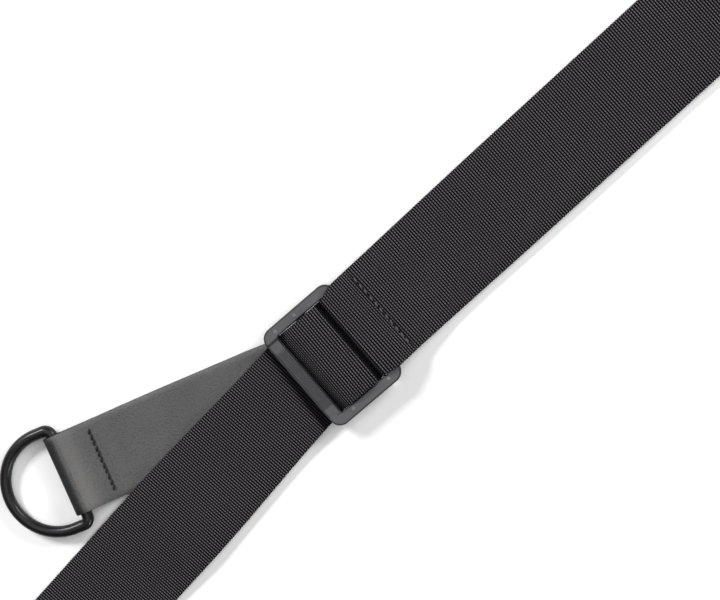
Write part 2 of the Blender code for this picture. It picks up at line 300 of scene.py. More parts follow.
@dataclass(frozen=True)
class Section:
    """A strip's outline: two flat faces and two rounded edges.

    Attributes:
        columns: Points across each face.
        rounding: How far the edge rounds in from the side, in metres.
        turns: Points on each rounded edge.
    """

    columns: int = 9
    rounding: float = 0.0005
    turns: int = 3

    def outline(self) -> tuple[np.ndarray, np.ndarray, np.ndarray]:
        """Works out the outline anticlockwise from the upper right.

        A face point is core x (half width - rounding). An edge point adds rounding x bend, where bend is
        sin(angle), and its height is cos(angle) of half the thickness.

        Returns:
            The core, bend and height shares of each point.
        """
        face = np.linspace(1, -1, self.columns)
        angle = np.linspace(0, math.pi, self.turns + 2)[1:-1]
        core = np.concatenate([face, -np.ones(self.turns), -face, np.ones(self.turns)])
        bend = np.concatenate([
            np.zeros(self.columns), -np.sin(angle), np.zeros(self.columns), np.sin(angle),
        ])
        height = np.concatenate([
            np.ones(self.columns), np.cos(angle), -np.ones(self.columns), -np.cos(angle),
        ])
        return core, bend, height


@dataclass(frozen=True)
class Strip:
    """A strip of webbing or leather: a section carried along a path.

    Attributes:
        course: The line that it follows on the surface.
        points: (run, height) places of its middle, in millimetres.
        thickness: Its thickness in metres.
        section: Its outline.
        step: The distance between two rows, in metres.
        pitch: The distance between two ribs, or 0 for a plain strip.
        depth: How much thinner it is between two ribs.
    """

    course: Course
    points: list[tuple[float, float]]
    thickness: float
    section: Section
    step: float
    pitch: float = 0.0
    depth: float = 0.0

    def path(self) -> np.ndarray:
        """The middle's (run, height) rows, in metres."""
        return flowing_path(self.points, self.step)

    def length(self) -> float:
        """The strip's flat length in metres."""
        return float(np.linalg.norm(np.diff(self.path(), axis=0), axis=1).sum())

    def build(
        self, name: str, half_width: np.ndarray | float, wave: float = 0.0, painted_light_mask: PaintedLightMask | None = None
    ) -> bpy.types.Object:
        """Carries the section along the path.

        A point is middle + across x left + height x half thickness x normal. The normal is the path's
        direction crossed with left. Between ribs, the half thickness is less by depth x (1 - rib) / 2, where
        rib is (1 + cos(2 pi length / pitch)) / 2, and the rounded edges reach a little less far. A plain
        strip may wave by a sum of two slow sines of the chart.

        Args:
            name: The piece's name.
            half_width: Half the width at each row, or one number.
            wave: How far a plain strip's faces wave, in metres.
            painted_light_mask: Each point's painted shade, below zero its painted highlight, from the path
                and the points' places, or None.

        Returns:
            The new object.
        """
        path = self.path()
        place, left = self.course.follow(path[:, 0])
        middle = np.column_stack([place, path[:, 1]])
        walked = walk(path)
        direction = np.gradient(middle, axis=0)
        side = np.column_stack([left, np.zeros(len(left))])
        normal = np.cross(direction, side)
        normal /= np.linalg.norm(normal, axis=1, keepdims=True)
        rib = (1 + np.cos(TAU * walked / self.pitch)) / 2 if self.pitch else np.ones(len(path))
        core, bend, height = self.section.outline()
        wide = np.broadcast_to(np.asarray(half_width, float), len(path))
        reach = self.section.rounding
        across = core * (wide - reach)[:, None] + bend * reach * (0.55 + 0.45 * rib)[:, None]
        half = (self.thickness - self.depth * (1 - rib)) / 2
        drift = np.zeros_like(across)
        if wave:
            slow = np.sin(walked[:, None] * 91 + across * 60)
            slower = np.sin(walked[:, None] * 37 - across * 140 + 1.3)
            drift = wave * (slow + 0.6 * slower)
        through = height * half[:, None] + drift
        grid = middle[:, None] + across[..., None] * side[:, None] + through[..., None] * normal[:, None]
        chart = np.stack([np.broadcast_to(walked[:, None], across.shape), across], -1)
        edge = np.broadcast_to(np.abs(bend), across.shape)
        # Painted shade and painted highlight go on the points off the rounded edges.
        if painted_light_mask:
            edge = np.where(edge > 0, edge, painted_light_mask(path, grid[..., :2]))
        return make_mesh(name, grid[None], chart, edge=edge)


def make_tubes(
    name: str,
    paths: np.ndarray,
    radius: np.ndarray | float,
    up: np.ndarray,
    sides: int = 12,
    ring: bool = False,
) -> bpy.types.Object:
    """Makes round wires or threads: circles carried along paths.

    A point is path + radius x (cos(turn) x rise + sin(turn) x across). Across is the path's direction crossed
    with up, and rise is across crossed with the direction.

    Args:
        name: The piece's name.
        paths: Centrelines as (tube, row, 3).
        radius: One radius, or one for each row.
        up: The vector that the circles start from.
        sides: Points round each circle.
        ring: Whether each path closes.

    Returns:
        The new object.
    """
    if ring:
        direction = np.roll(paths, -1, axis=1) - np.roll(paths, 1, axis=1)
    else:
        direction = np.gradient(paths, axis=1)
    direction = direction / np.linalg.norm(direction, axis=-1, keepdims=True)
    across = np.cross(direction, np.broadcast_to(np.asarray(up, float), direction.shape))
    across = across / np.linalg.norm(across, axis=-1, keepdims=True)
    rise = np.cross(across, direction)
    turn = np.linspace(0, TAU, sides, endpoint=False)
    reach = np.broadcast_to(np.asarray(radius, float), paths.shape[1])[None, :, None, None]
    grid = paths[:, :, None] + reach * (
        np.cos(turn)[:, None] * rise[:, :, None] + np.sin(turn)[:, None] * across[:, :, None]
    )
    chart = np.stack(np.meshgrid(walk(paths[0]), turn * float(np.max(radius)), indexing="ij"), -1)
    return make_mesh(name, grid, chart, ring=ring)


def rounded_outline(
    half_x: float, half_y: float, radius: float, corner: int, long_x: int, long_y: int
) -> np.ndarray:
    """Walks round a rectangle with rounded corners, anticlockwise from the right side's foot.

    Args:
        half_x: Half its size along X.
        half_y: Half its size along Y.
        radius: The corners' radius.
        corner: Points on each corner.
        long_x: Points on each side along X.
        long_y: Points on each side along Y.

    Returns:
        The outline's points as (n, 2).
    """
    straight_x, straight_y = half_x - radius, half_y - radius
    run_y = np.linspace(-straight_y, straight_y, long_y, endpoint=False)
    run_x = np.linspace(straight_x, -straight_x, long_x, endpoint=False)
    turn = np.linspace(0, math.pi / 2, corner, endpoint=False)
    bend_x, bend_y = radius * np.cos(turn), radius * np.sin(turn)
    return np.vstack([
        np.column_stack([np.full(long_y, half_x), run_y]),
        np.column_stack([straight_x + bend_x, straight_y + bend_y]),
        np.column_stack([run_x, np.full(long_x, half_y)]),
        np.column_stack([-straight_x - bend_y, straight_y + bend_x]),
        np.column_stack([np.full(long_y, -half_x), -run_y]),
        np.column_stack([-straight_x - bend_x, -straight_y - bend_y]),
        np.column_stack([-run_x, np.full(long_x, -half_y)]),
        np.column_stack([straight_x + bend_y, -straight_y - bend_x]),
    ])


def sewn_row(
    name: str,
    start: np.ndarray,
    end: np.ndarray,
    count: int,
    share: float,
    thread: float,
    slant: float = 0.0,
) -> bpy.types.Object:
    """Sews a straight row of separate stitches, each an arched thread whose ends go down into the strip.

    A stitch follows place + t x length, raised by sin(pi t)^0.6 x 1.3 threads from 0.9 threads below. Its
    radius swells as sin(pi t)^0.35. A slow sine of the stitch's number moves each one a little along the row.

    Args:
        name: The piece's name.
        start: Where the first stitch begins.
        end: Where the last stitch ends.
        count: How many stitches.
        share: How much of its pitch each stitch covers.
        thread: The thread's radius.
        slant: How far the ends lean to each side, in metres.

    Returns:
        The new object.
    """
    start, end = np.asarray(start, float), np.asarray(end, float)
    along = (end - start) / count
    lean = np.cross(along, UPWARDS)
    lean = lean / np.linalg.norm(lean) * slant
    t = np.linspace(0.04, 0.96, 11)
    first = start + along * (np.arange(count)[:, None] + (1 - share) / 2)
    wobble = 0.06 * np.sin(np.arange(count) * 2.4)[:, None]
    paths = first[:, None] + t[None, :, None] * share * along + (t - 0.5)[None, :, None] * lean * 2
    paths = paths + (wobble * along)[:, None]
    paths[..., 2] += (np.sin(math.pi * t) ** 0.6 * thread * 1.3 - thread * 0.9)[None]
    return make_tubes(name, paths, thread * np.sin(math.pi * t) ** 0.35, UPWARDS, sides=10)


# ---------------------------------------------------------------- finishes


class Tree:
    """A node tree and the short calls that fill it."""

    def __init__(self, tree: bpy.types.NodeTree) -> None:
        """Keeps the tree to fill."""
        self.tree = tree

    def node(self, kind: str, values: dict[str, object] | None = None, **settings: object) -> bpy.types.Node:
        """Adds a node.

        Args:
            kind: The node's type.
            values: Socket name to a number, a colour or another node's socket.
            settings: The node's own settings.

        Returns:
            The node.
        """
        made = self.tree.nodes.new(kind)
        for key, value in settings.items():
            setattr(made, key, value)
        for key, value in (values or {}).items():
            self.feed(made.inputs[key], value)
        return made

    def feed(self, socket: Socket, value: object) -> None:
        """Links a socket to another, or sets its value."""
        if isinstance(value, bpy.types.NodeSocket):
            self.tree.links.new(value, socket)
        else:
            socket.default_value = value

    def math(self, operation: str, *values: object) -> Socket:
        """Adds a Math node and gives its result."""
        made = self.tree.nodes.new("ShaderNodeMath")
        made.operation = operation
        for socket, value in zip(made.inputs, values):
            self.feed(socket, value)
        return made.outputs[0]

    def swing(self, turns: Socket) -> Socket:
        """(1 + cos(2 pi turns)) / 2, which is 1 at each whole number."""
        wave = self.math("COSINE", self.math("MULTIPLY", turns, TAU))
        return self.math("MULTIPLY_ADD", wave, 0.5, 0.5)

    def mix(self, share: object, low: object, high: object) -> Socket:
        """Mixes two colours."""
        made = self.tree.nodes.new("ShaderNodeMix")
        made.data_type = "RGBA"
        for place, value in ((0, share), (6, low), (7, high)):
            self.feed(made.inputs[place], value)
        return made.outputs[2]

    def ramp(
        self, value: Socket, low: float, high: float, out_low: float = 0.0, out_high: float = 1.0
    ) -> Socket:
        """Maps a value from one range to another, clamped."""
        made = self.node("ShaderNodeMapRange", {0: value, 1: low, 2: high, 3: out_low, 4: out_high})
        return made.outputs[0]


class Effect(Enum):
    """The shared effects, each a node group made once."""

    WEAVE = "ribbed_weave"
    GRAIN = "skin_grain"
    MOTTLE = "slow_mottle"


def new_group(
    effect: Effect, inputs: list[tuple[str, str, float]], outputs: list[str]
) -> tuple[Tree, bpy.types.Node, bpy.types.Node]:
    """Makes an empty group with named sockets.

    Args:
        effect: Which effect it is.
        inputs: Name, kind and value of each input.
        outputs: Names of the outputs, all numbers.

    Returns:
        The tree, its input node and its output node.
    """
    made = bpy.data.node_groups.new(effect.value, "ShaderNodeTree")
    for name, kind, value in inputs:
        socket = made.interface.new_socket(name, in_out="INPUT", socket_type=kind)
        if kind == "NodeSocketFloat":
            socket.default_value = value
    for name in outputs:
        made.interface.new_socket(name, in_out="OUTPUT", socket_type="NodeSocketFloat")
    tree = Tree(made)
    return tree, tree.node("NodeGroupInput"), tree.node("NodeGroupOutput")


def weave_group() -> bpy.types.NodeTree:
    """Ribs across the strip, each bumped where warp yarns cross it, on alternate columns.

    Ridge is (1 + cos(2 pi u / pitch)) / 2. Yarn is the same wave of v / column, moved half a turn on every
    second rib. Height is ridge less a share where yarn is low. Fuzz is a fine noise.

    Returns:
        The group.
    """
    tree, given, out = new_group(
        Effect.WEAVE,
        [
            ("Chart", "NodeSocketVector", 0),
            ("Pitch", "NodeSocketFloat", 0.00125),
            ("Column", "NodeSocketFloat", 0.00136),
            ("Relief", "NodeSocketFloat", 0.4),
        ],
        ["Ridge", "Yarn", "Height", "Fuzz"],
    )
    chart = tree.node("ShaderNodeSeparateXYZ", {0: given.outputs["Chart"]})
    turns = tree.math("DIVIDE", chart.outputs[0], given.outputs["Pitch"])
    ridge = tree.swing(turns)
    odd = tree.math("FRACT", tree.math("MULTIPLY", tree.math("ROUND", turns), 0.5))
    columns = tree.math("DIVIDE", chart.outputs[1], given.outputs["Column"])
    yarn = tree.swing(tree.math("ADD", columns, odd))
    lost = tree.math("MULTIPLY", tree.math("SUBTRACT", 1.0, yarn), given.outputs["Relief"])
    noise = tree.node(
        "ShaderNodeTexNoise", {"Vector": given.outputs["Chart"], "Scale": 2600.0, "Detail": 2.0}
    )
    tree.feed(out.inputs["Ridge"], ridge)
    tree.feed(out.inputs["Yarn"], yarn)
    tree.feed(out.inputs["Height"], tree.math("MULTIPLY", ridge, tree.math("SUBTRACT", 1.0, lost)))
    tree.feed(out.inputs["Fuzz"], noise.outputs[0])
    return tree.tree


def grain_group() -> bpy.types.NodeTree:
    """Fine pebbling: small cells with a noise over them.

    Returns:
        The group.
    """
    tree, given, out = new_group(
        Effect.GRAIN,
        [("Place", "NodeSocketVector", 0), ("Scale", "NodeSocketFloat", 900)],
        ["Height", "Crease"],
    )
    cells = tree.node(
        "ShaderNodeTexVoronoi",
        {"Vector": given.outputs["Place"], "Scale": given.outputs["Scale"], "Randomness": 1.0},
        feature="SMOOTH_F1",
    )
    noise = tree.node(
        "ShaderNodeTexNoise",
        {"Vector": given.outputs["Place"], "Scale": given.outputs["Scale"], "Detail": 4.0, "Roughness": 0.6},
    )
    crease = tree.ramp(cells.outputs["Distance"], 0.35, 0.75)
    tree.feed(out.inputs["Crease"], crease)
    height = tree.math("MULTIPLY_ADD", crease, -0.6, noise.outputs[0])
    tree.feed(out.inputs["Height"], height)
    return tree.tree


def mottle_group() -> bpy.types.NodeTree:
    """Slow light and dark patches: a soft noise stretched to the full range.

    Returns:
        The group.
    """
    tree, given, out = new_group(
        Effect.MOTTLE,
        [("Place", "NodeSocketVector", 0), ("Scale", "NodeSocketFloat", 30)],
        ["Patch"],
    )
    noise = tree.node(
        "ShaderNodeTexNoise",
        {"Vector": given.outputs["Place"], "Scale": given.outputs["Scale"], "Detail": 5.0, "Roughness": 0.55},
    )
    tree.feed(out.inputs["Patch"], tree.ramp(noise.outputs[0], 0.32, 0.68))
    return tree.tree


MAKERS = {Effect.WEAVE: weave_group, Effect.GRAIN: grain_group, Effect.MOTTLE: mottle_group}


def use_effect(tree: Tree, effect: Effect, values: dict[str, object]) -> bpy.types.Node:
    """Places a shared effect in a material, making it the first time."""
    group = bpy.data.node_groups.get(effect.value) or MAKERS[effect]()
    made = tree.node("ShaderNodeGroup", node_tree=group)
    for key, value in values.items():
        tree.feed(made.inputs[key], value)
    return made


@dataclass(frozen=True)
class Finish:
    """What every finish has.

    Attributes:
        name: The material's name.
        roughness: How rough it is.
        specular: How strongly it shines head on, where 0.5 is plain plastic.
    """

    name: str
    roughness: float
    specular: float

    def start(self) -> tuple[Tree, bpy.types.Node]:
        """Makes the material with its own Principled shader."""
        made = bpy.data.materials.new(self.name)
        made.use_nodes = True
        tree = Tree(made.node_tree)
        shader = made.node_tree.nodes["Principled BSDF"]
        shader.inputs["Roughness"].default_value = self.roughness
        shader.inputs["Specular IOR Level"].default_value = self.specular
        return tree, shader

    def build(self) -> bpy.types.Material:
        """Makes the material, each kind of finish in its own way."""
        raise NotImplementedError

    def bump(self, tree: Tree, shader: bpy.types.Node, height: Socket, depth: float, strength: float) -> None:
        """Raises the surface by a height."""
        made = tree.node("ShaderNodeBump", {"Height": height, "Distance": depth, "Strength": strength})
        tree.feed(shader.inputs["Normal"], made.outputs[0])


@dataclass(frozen=True)
class WebbingFinish(Finish):
    """Ribbed polyester webbing.

    Attributes:
        ridge: The ribs' colour.
        gap: The painted shade between ribs.
        pitch: The distance between ribs.
        column: The distance between crossing yarns on one rib.
    """

    ridge: Colour = (0.122, 0.115, 0.125)
    gap: Colour = (0.0010, 0.0009, 0.0012)
    pitch: float = 0.00125
    column: float = 0.00136

    def build(self) -> bpy.types.Material:
        """Painted shade between ribs and light on them, with crossing yarns, fuzz, slow fading and painted
        shade by the slider.
        """
        tree, shader = self.start()
        chart = tree.node("ShaderNodeUVMap", uv_map="chart").outputs[0]
        weave = use_effect(tree, Effect.WEAVE, {"Chart": chart, "Pitch": self.pitch, "Column": self.column})
        patch = use_effect(tree, Effect.MOTTLE, {"Place": chart, "Scale": 22.0}).outputs["Patch"]
        crest = tree.ramp(weave.outputs["Ridge"], 0.42, 0.95)
        lit = tree.math("MULTIPLY", crest, tree.ramp(weave.outputs["Yarn"], 0.0, 1.0, 0.34, 1.2))
        lit = tree.math("MULTIPLY", lit, tree.ramp(weave.outputs["Fuzz"], 0.3, 0.7, 0.8, 1.16))
        lit = tree.math("MULTIPLY", lit, tree.ramp(patch, 0.0, 1.0, 0.94, 1.05))
        # Darkens the rounded edges and paints shade by the slider's bars, in the slot and along the sewn row.
        painted_light_mask = tree.node("ShaderNodeAttribute", attribute_name="dark_edge_and_painted_light").outputs["Fac"]
        lit = tree.math("MULTIPLY", lit, tree.ramp(painted_light_mask, 0.0, 1.0, 1.0, 0.12))
        # Mixing towards gap paints shade between the ribs.
        tree.feed(shader.inputs["Base Color"], tree.mix(lit, (*self.gap, 1), (*self.ridge, 1)))
        self.bump(tree, shader, weave.outputs["Height"], 0.00012, 0.7)
        return bpy.data.materials[self.name]


@dataclass(frozen=True)
class LeatherFinish(Finish):
    """Matt charcoal leather with fine pebbling, dark cut edges, painted shade and a painted highlight.

    Attributes:
        face: The face's colour.
        pale: The colour of paler patches.
        painted_highlight: The colour of the painted highlight on the slope by the D-ring.
        core: The cut edge's colour, also painted as shade on the fold and along the seam.
    """

    face: Colour = (0.068, 0.068, 0.071)
    pale: Colour = (0.086, 0.085, 0.084)
    painted_highlight: Colour = (0.150, 0.143, 0.134)
    core: Colour = (0.014, 0.014, 0.015)

    def build(self) -> bpy.types.Material:
        """Mixes face and pale by slow patches, darkens creases, gives the edge its own colour, paints shade
        and a highlight.
        """
        tree, shader = self.start()
        place = tree.node("ShaderNodeTexCoord").outputs["Object"]
        grain = use_effect(tree, Effect.GRAIN, {"Place": place, "Scale": 1500.0})
        patch = use_effect(tree, Effect.MOTTLE, {"Place": place, "Scale": 34.0}).outputs["Patch"]
        colour = tree.mix(patch, (*self.face, 1), (*self.pale, 1))
        creased = tree.math("MULTIPLY", grain.outputs["Crease"], 0.34)
        colour = tree.mix(creased, colour, (*self.core, 1))
        cut = tree.node("ShaderNodeAttribute", attribute_name="dark_edge_and_painted_light").outputs["Fac"]
        # Paints the highlight on the pull tab's slope by the D-ring.
        colour = tree.mix(tree.ramp(cut, 0.0, -1.0), colour, (*self.painted_highlight, 1))
        # Gives cut edges their colour, and paints shade on the fold and along the seam.
        colour = tree.mix(tree.ramp(cut, 0.25, 0.8), colour, (*self.core, 1))
        tree.feed(shader.inputs["Base Color"], colour)
        rough = tree.ramp(patch, 0.0, 1.0, self.roughness + 0.05, self.roughness - 0.05)
        tree.feed(shader.inputs["Roughness"], rough)
        self.bump(tree, shader, grain.outputs["Height"], 0.00016, 1.0)
        return bpy.data.materials[self.name]


@dataclass(frozen=True)
class MouldedFinish(Finish):
    """Moulded plastic, coated wire or thread: one colour with a fine texture.

    Attributes:
        colour: The main colour.
        worn: The colour of paler patches.
        edge: The colour of dark edges, also painted as shade on sides and in recesses.
        scale: How fine the texture is.
        relief: How deep the texture is, in metres.
        metallic: How metallic it is.
        coat: How much clear coat it has.
    """

    colour: Colour = (0.03, 0.03, 0.032)
    worn: Colour = (0.04, 0.04, 0.042)
    edge: Colour = (0.002, 0.002, 0.002)
    scale: float = 1200.0
    relief: float = 0.00002
    metallic: float = 0.0
    coat: float = 0.0

    def build(self) -> bpy.types.Material:
        """Mixes the two colours by slow patches, and roughens the surface a little with the same patches."""
        tree, shader = self.start()
        place = tree.node("ShaderNodeTexCoord").outputs["Object"]
        grain = use_effect(tree, Effect.GRAIN, {"Place": place, "Scale": self.scale})
        patch = use_effect(tree, Effect.MOTTLE, {"Place": place, "Scale": 120.0}).outputs["Patch"]
        colour = tree.mix(patch, (*self.colour, 1), (*self.worn, 1))
        # On the slider's rim this paints shade on its sides, edges, rib valleys and by the rails.
        edge = tree.node("ShaderNodeAttribute", attribute_name="dark_edge_and_painted_light").outputs["Fac"]
        colour = tree.mix(edge, colour, (*self.edge, 1))
        tree.feed(shader.inputs["Base Color"], colour)
        rough = tree.ramp(patch, 0.0, 1.0, self.roughness, self.roughness * 1.15)
        tree.feed(shader.inputs["Roughness"], rough)
        shader.inputs["Metallic"].default_value = self.metallic
        shader.inputs["Coat Weight"].default_value = self.coat
        shader.inputs["Coat Roughness"].default_value = 0.08
        self.bump(tree, shader, grain.outputs["Height"], self.relief, 0.5)
        return bpy.data.materials[self.name]


WEBBING = WebbingFinish("black_ribbed_webbing", roughness=0.9, specular=0.02)
LEATHER = LeatherFinish("charcoal_leather", roughness=0.50, specular=0.42)
PLASTIC = MouldedFinish(
    "black_moulded_plastic", roughness=0.48, specular=0.5,
    colour=(0.062, 0.061, 0.065), worn=(0.078, 0.077, 0.082),
)
WIRE = MouldedFinish(
    "black_coated_wire", roughness=0.36, specular=0.28,
    colour=(0.005, 0.005, 0.006), worn=(0.008, 0.008, 0.009),
    scale=500.0, relief=0.00001, coat=0.1,
)
THREAD = MouldedFinish(
    "black_sewing_thread", roughness=0.6, specular=0.3,
    colour=(0.005, 0.005, 0.006), worn=(0.012, 0.012, 0.014),
    scale=2400.0, relief=0.00006,
)
PALE_PLASTIC = MouldedFinish(
    "mould_mark_plastic", roughness=0.5, specular=0.5,
    colour=(0.115, 0.113, 0.125), worn=(0.135, 0.133, 0.145),
)
GREY_THREAD = MouldedFinish(
    "grey_sewing_thread", roughness=0.6, specular=0.3,
    colour=(0.055, 0.053, 0.060), worn=(0.085, 0.082, 0.092),
    scale=2400.0, relief=0.00006,
)


@dataclass
class Wardrobe:
    """Builds each finish once and puts it on pieces.

    Attributes:
        finishes: The finish for each slot.
        made: The materials made so far.
    """

    finishes: dict[Slot, Finish] = field(default_factory=lambda: {
        Slot.WEBBING: WEBBING,
        Slot.LEATHER: LEATHER,
        Slot.PLASTIC: PLASTIC,
        Slot.METAL: WIRE,
        Slot.THREAD: THREAD,
    })
    made: dict[str, bpy.types.Material] = field(default_factory=dict)

    def dress(
        self, piece: bpy.types.Object, slot: Slot, nodes: tuple[str, ...] = (), finish: Finish | None = None
    ) -> bpy.types.Object:
        """Puts a finish on a piece, and hides the CAD nodes that the piece stands for.

        Args:
            piece: The piece.
            slot: Its material slot in the record.
            nodes: The CAD nodes that it replaces.
            finish: Its finish, where it isn't the slot's own.

        Returns:
            The piece.
        """
        finish = finish or self.finishes[slot]
        if finish.name not in self.made:
            self.made[finish.name] = finish.build()
        piece.data.materials.clear()
        piece.data.materials.append(self.made[finish.name])
        if nodes:
            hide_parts(*nodes)
        return piece


# ---------------------------------------------------------------- the strap


@dataclass(frozen=True)
class Layout:
    """Where the lanes are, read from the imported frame.

    Attributes:
        slider: The slider's lane, through its middle.
        doubled: The doubled end's lane.
        loop: The lane of the wire loop and its button tab.
        shoulder: The shoulder end's lane.
        tab: The leather pull tab's lane.
    """

    slider: Lane
    doubled: Lane
    loop: Lane
    shoulder: Lane
    tab: Lane

    @classmethod
    def read(cls) -> "Layout":
        """Starts each lane from the middle of the slider's box."""
        low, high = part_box("slider_frame")
        x, y = (low.x + high.x) / 2, (low.y + high.y) / 2
        return cls(
            slider=Lane(x, y + 0.0004, 0.0, 0.0),
            doubled=Lane(x + 0.020, y + 0.00125, 0.020, 1.92),
            loop=Lane(x + 0.020, y - 0.0019, 0.020, 2.6),
            shoulder=Lane(x - 0.0224, y - 0.0007, -0.0224, 7.25),
            tab=Lane(x, y - 0.003, 0.0, -17.28),
        )


@dataclass
class Webbing:
    """The webbing: one length, sewn round the slider's far bar, turned round the wire loop, passed over the
    slider's middle bar and folded away at the shoulder end.

    Attributes:
        layout: The lanes.
        wardrobe: The finishes.
        half_width: Half the webbing's width.
        gathered: How much narrower it is on each side, beside the slider's far bar and its near bar.
        squeezed: Half its width inside the slider.
        thickness: Its thickness.
        pitch: The distance between ribs.
        rib_depth: How much thinner it is between ribs.
        sewn_run: The run of the sewn row.
        layers: How many layers are folded at the shoulder end.
        layer_gap: The height from one folded layer's middle to the next one's.
        fold_runs: The nearest and furthest distance of the folded layers from the shoulder lane's start.
    """

    layout: Layout
    wardrobe: Wardrobe
    half_width: float = 0.02488
    gathered: tuple[float, float] = (0.00045, 0.0022)
    squeezed: float = 0.02265
    thickness: float = 0.0014
    pitch: float = 0.00125
    rib_depth: float = 0.00042
    sewn_run: float = 0.0304
    layers: int = 5
    layer_gap: float = 0.00182
    fold_runs: tuple[float, float] = (0.1765, 0.3165)

    def widths(self, path: np.ndarray) -> np.ndarray:
        """Half the width at each row: narrow inside the slider, nearly full at its edge, full 110 mm away."""
        run = path[:, 0]
        gather = np.where(run > 0, *self.gathered) * (1 - smooth_share(np.abs(run), 0.02, 0.11))
        share = smooth_share(np.abs(run), 0.0125, 0.021)
        return self.squeezed + (self.half_width - gather - self.squeezed) * share

    def painted_light_mask(self, path: np.ndarray, plan: np.ndarray) -> np.ndarray:
        """Painted shade: the near bar's shadow, inside by that bar, in the far bar's slot, along the sewn
        row.

        Args:
            path: The (run, height) rows.
            plan: Each point's place on the surface, as (row, column, 2).

        Returns:
            The shares, as (row, column).
        """
        run, height = path[:, :1], path[:, 1:]
        beyond = self.layout.slider.x - plan[..., 0]
        aside = plan[..., 1] - self.layout.slider.y
        reach = 0.0224 + 0.0024 * (1 - smooth_share(aside, -0.024, 0.024))
        # Painted shadow of the near bar on the webbing outside the slider.
        outside = smooth_share(beyond, 0.0185, 0.0200) * (1 - smooth_share(beyond - reach, 0.0, 0.0022))
        # Painted shade on the webbing inside the slider by the near bar.
        inside = smooth_share(-run, 0.0095, 0.0125) * (1 - smooth_share(-run, 0.0185, 0.0195)) * 0.6
        # Painted shade in the groove of the slot at the far bar.
        slot = (run > 0.0080) * (run < 0.0128) * (height > 0.003) * 0.75
        # Painted shade in the groove along the sewn row.
        crease = np.exp(-(((run - self.sewn_run) / 0.0009) ** 2))
        sewn = crease * (height > 0.0045) * (np.abs(aside) < 0.0210) * 0.85
        return np.clip(outside * (height < 0.0055) + inside + slot + sewn, 0, 1)

    def strip(self, course: Course, points: list[tuple[float, float]]) -> Strip:
        """A ribbed strip with five rows to each rib."""
        section = Section(columns=8, rounding=0.0006, turns=3)
        return Strip(course, points, self.thickness, section, self.pitch / 5, self.pitch, self.rib_depth)

    def doubled_points(self) -> list[tuple[float, float]]:
        """The path from the sewn end to the slider's near bar, as (run, height) in millimetres."""
        sewn = [
            (37.5, 2.95), (34, 3.25), (28, 4.0), (22, 4.3), (17, 4.3), (15, 4.32), (13.2, 4.6), (12.4, 5.6),
            (12.25, 7.2), (12.35, 9.0), (13.1, 10.2), (14.8, 10.6), (17, 10.65), (20.8, 10.4), (25, 8.8),
            (28.4, 6.75), (30.4, 5.75), (32.4, 5.5), (36, 4.9), (41, 4.35), (48, 3.4), (60, 2.85),
        ]
        top = [(95, 2.75), (130, 2.8), (165, 2.75), (205, 2.85), (225, 3.9), (236, 5.7), (244, 6.85)]
        turn = np.radians(np.linspace(80, -90, 9))
        bight = [(252 + 3.0 * math.cos(a), 4.2 + 3.0 * math.sin(a)) for a in turn]
        under = [
            (244, 1.05), (210, 1.0), (170, 1.0), (130, 1.0), (60, 1.0), (36, 1.2), (25.9, 1.8), (16, 2.1),
            (12, 2.4), (9.9, 3.9), (9.0, 6.4), (7.7, 8.9), (4.4, 10.4), (0, 10.8), (-4.3, 10.6), (-8.3, 9.2),
            (-11.3, 6.4), (-13.2, 4.75), (-16, 4.42), (-17, 4.42),
        ]
        return sewn + top + bight + under

    def folded_points(self) -> list[tuple[float, float]]:
        """The folded layers and the tail, as (distance from the lane's start, height) in millimetres.

        Each layer runs between the near and the far fold, and a half circle joins it to the next one. The
        folds stand out by different amounts, 1.6 x sin(2.1 x layer). A wider curve turns the last layer into
        the tail.

        Returns:
            The points, from the second half of the lowest layer to the tail's end.
        """
        near, far = (value / MM for value in self.fold_runs)
        gap, lowest, lead, slack = self.layer_gap / MM, 0.8, 0.8, 1.6
        points = []
        for layer in range(self.layers):
            height = lowest + layer * gap
            way = 1 if layer % 2 == 0 else -1
            start, end = (near, far)[::way]
            shares = (0.5, 0.92) if layer == 0 else (0.08, 0.5, 0.92)
            points += [(start + (end - start) * share, height) for share in shares]
            if layer < self.layers - 1:
                fold = end + way * slack * math.sin(layer * 2.1)
                points.append((fold - lead * way, height))
                for turn in np.radians((-90, -45, 0, 45, 90)):
                    out = fold + way * gap / 2 * math.cos(turn)
                    points.append((out, height + gap / 2 + gap / 2 * math.sin(turn)))
                points.append((fold - lead * way, height + gap))
        top, bend = lowest + (self.layers - 1) * gap, 1.3
        points.append((far - 0.7, top))
        for turn in np.radians((-80, -30, 20, 70)):
            points.append((far + 0.3 + bend * math.cos(turn), top + bend + bend * math.sin(turn)))
        return points + [(306, 10.75), (298, 11.35), (289, 11.9), (262, 11.9)]

    def shoulder_points(self) -> list[tuple[float, float]]:
        """The path from the slider's near bar through the folded layers to the tail's end."""
        first = self.layout.shoulder.run / MM
        straight = [
            (-17.1, 4.42), (-20, 4.42), (-26, 4.3), (-35.4, 3.5), (-44.4, 2.95), (-72.4, 2.7), (-97.4, 3.0),
            (-110.4, 3.35), (-127.4, 2.7), (-147.4, 1.6), (-167.4, 1.0), (-185, 0.8),
        ]
        return straight + [(first - out, height) for out, height in self.folded_points()]

    def lay(
        self,
        name: str,
        course: Course,
        points: list[tuple[float, float]],
        nodes: tuple[str, ...],
    ) -> tuple[bpy.types.Object, float]:
        """Makes a length of webbing and dresses it.

        Args:
            name: The piece's name.
            course: The line that it follows.
            points: Its (run, height) points in millimetres.
            nodes: The CAD nodes that it replaces.

        Returns:
            The webbing and its flat length in metres.
        """
        strip = self.strip(course, points)
        # The webbing gets painted shade by the slider's bars, in the slot and along the sewn row.
        piece = strip.build(name, self.widths(strip.path()), painted_light_mask=self.painted_light_mask)
        return self.wardrobe.dress(piece, Slot.WEBBING, nodes), strip.length()

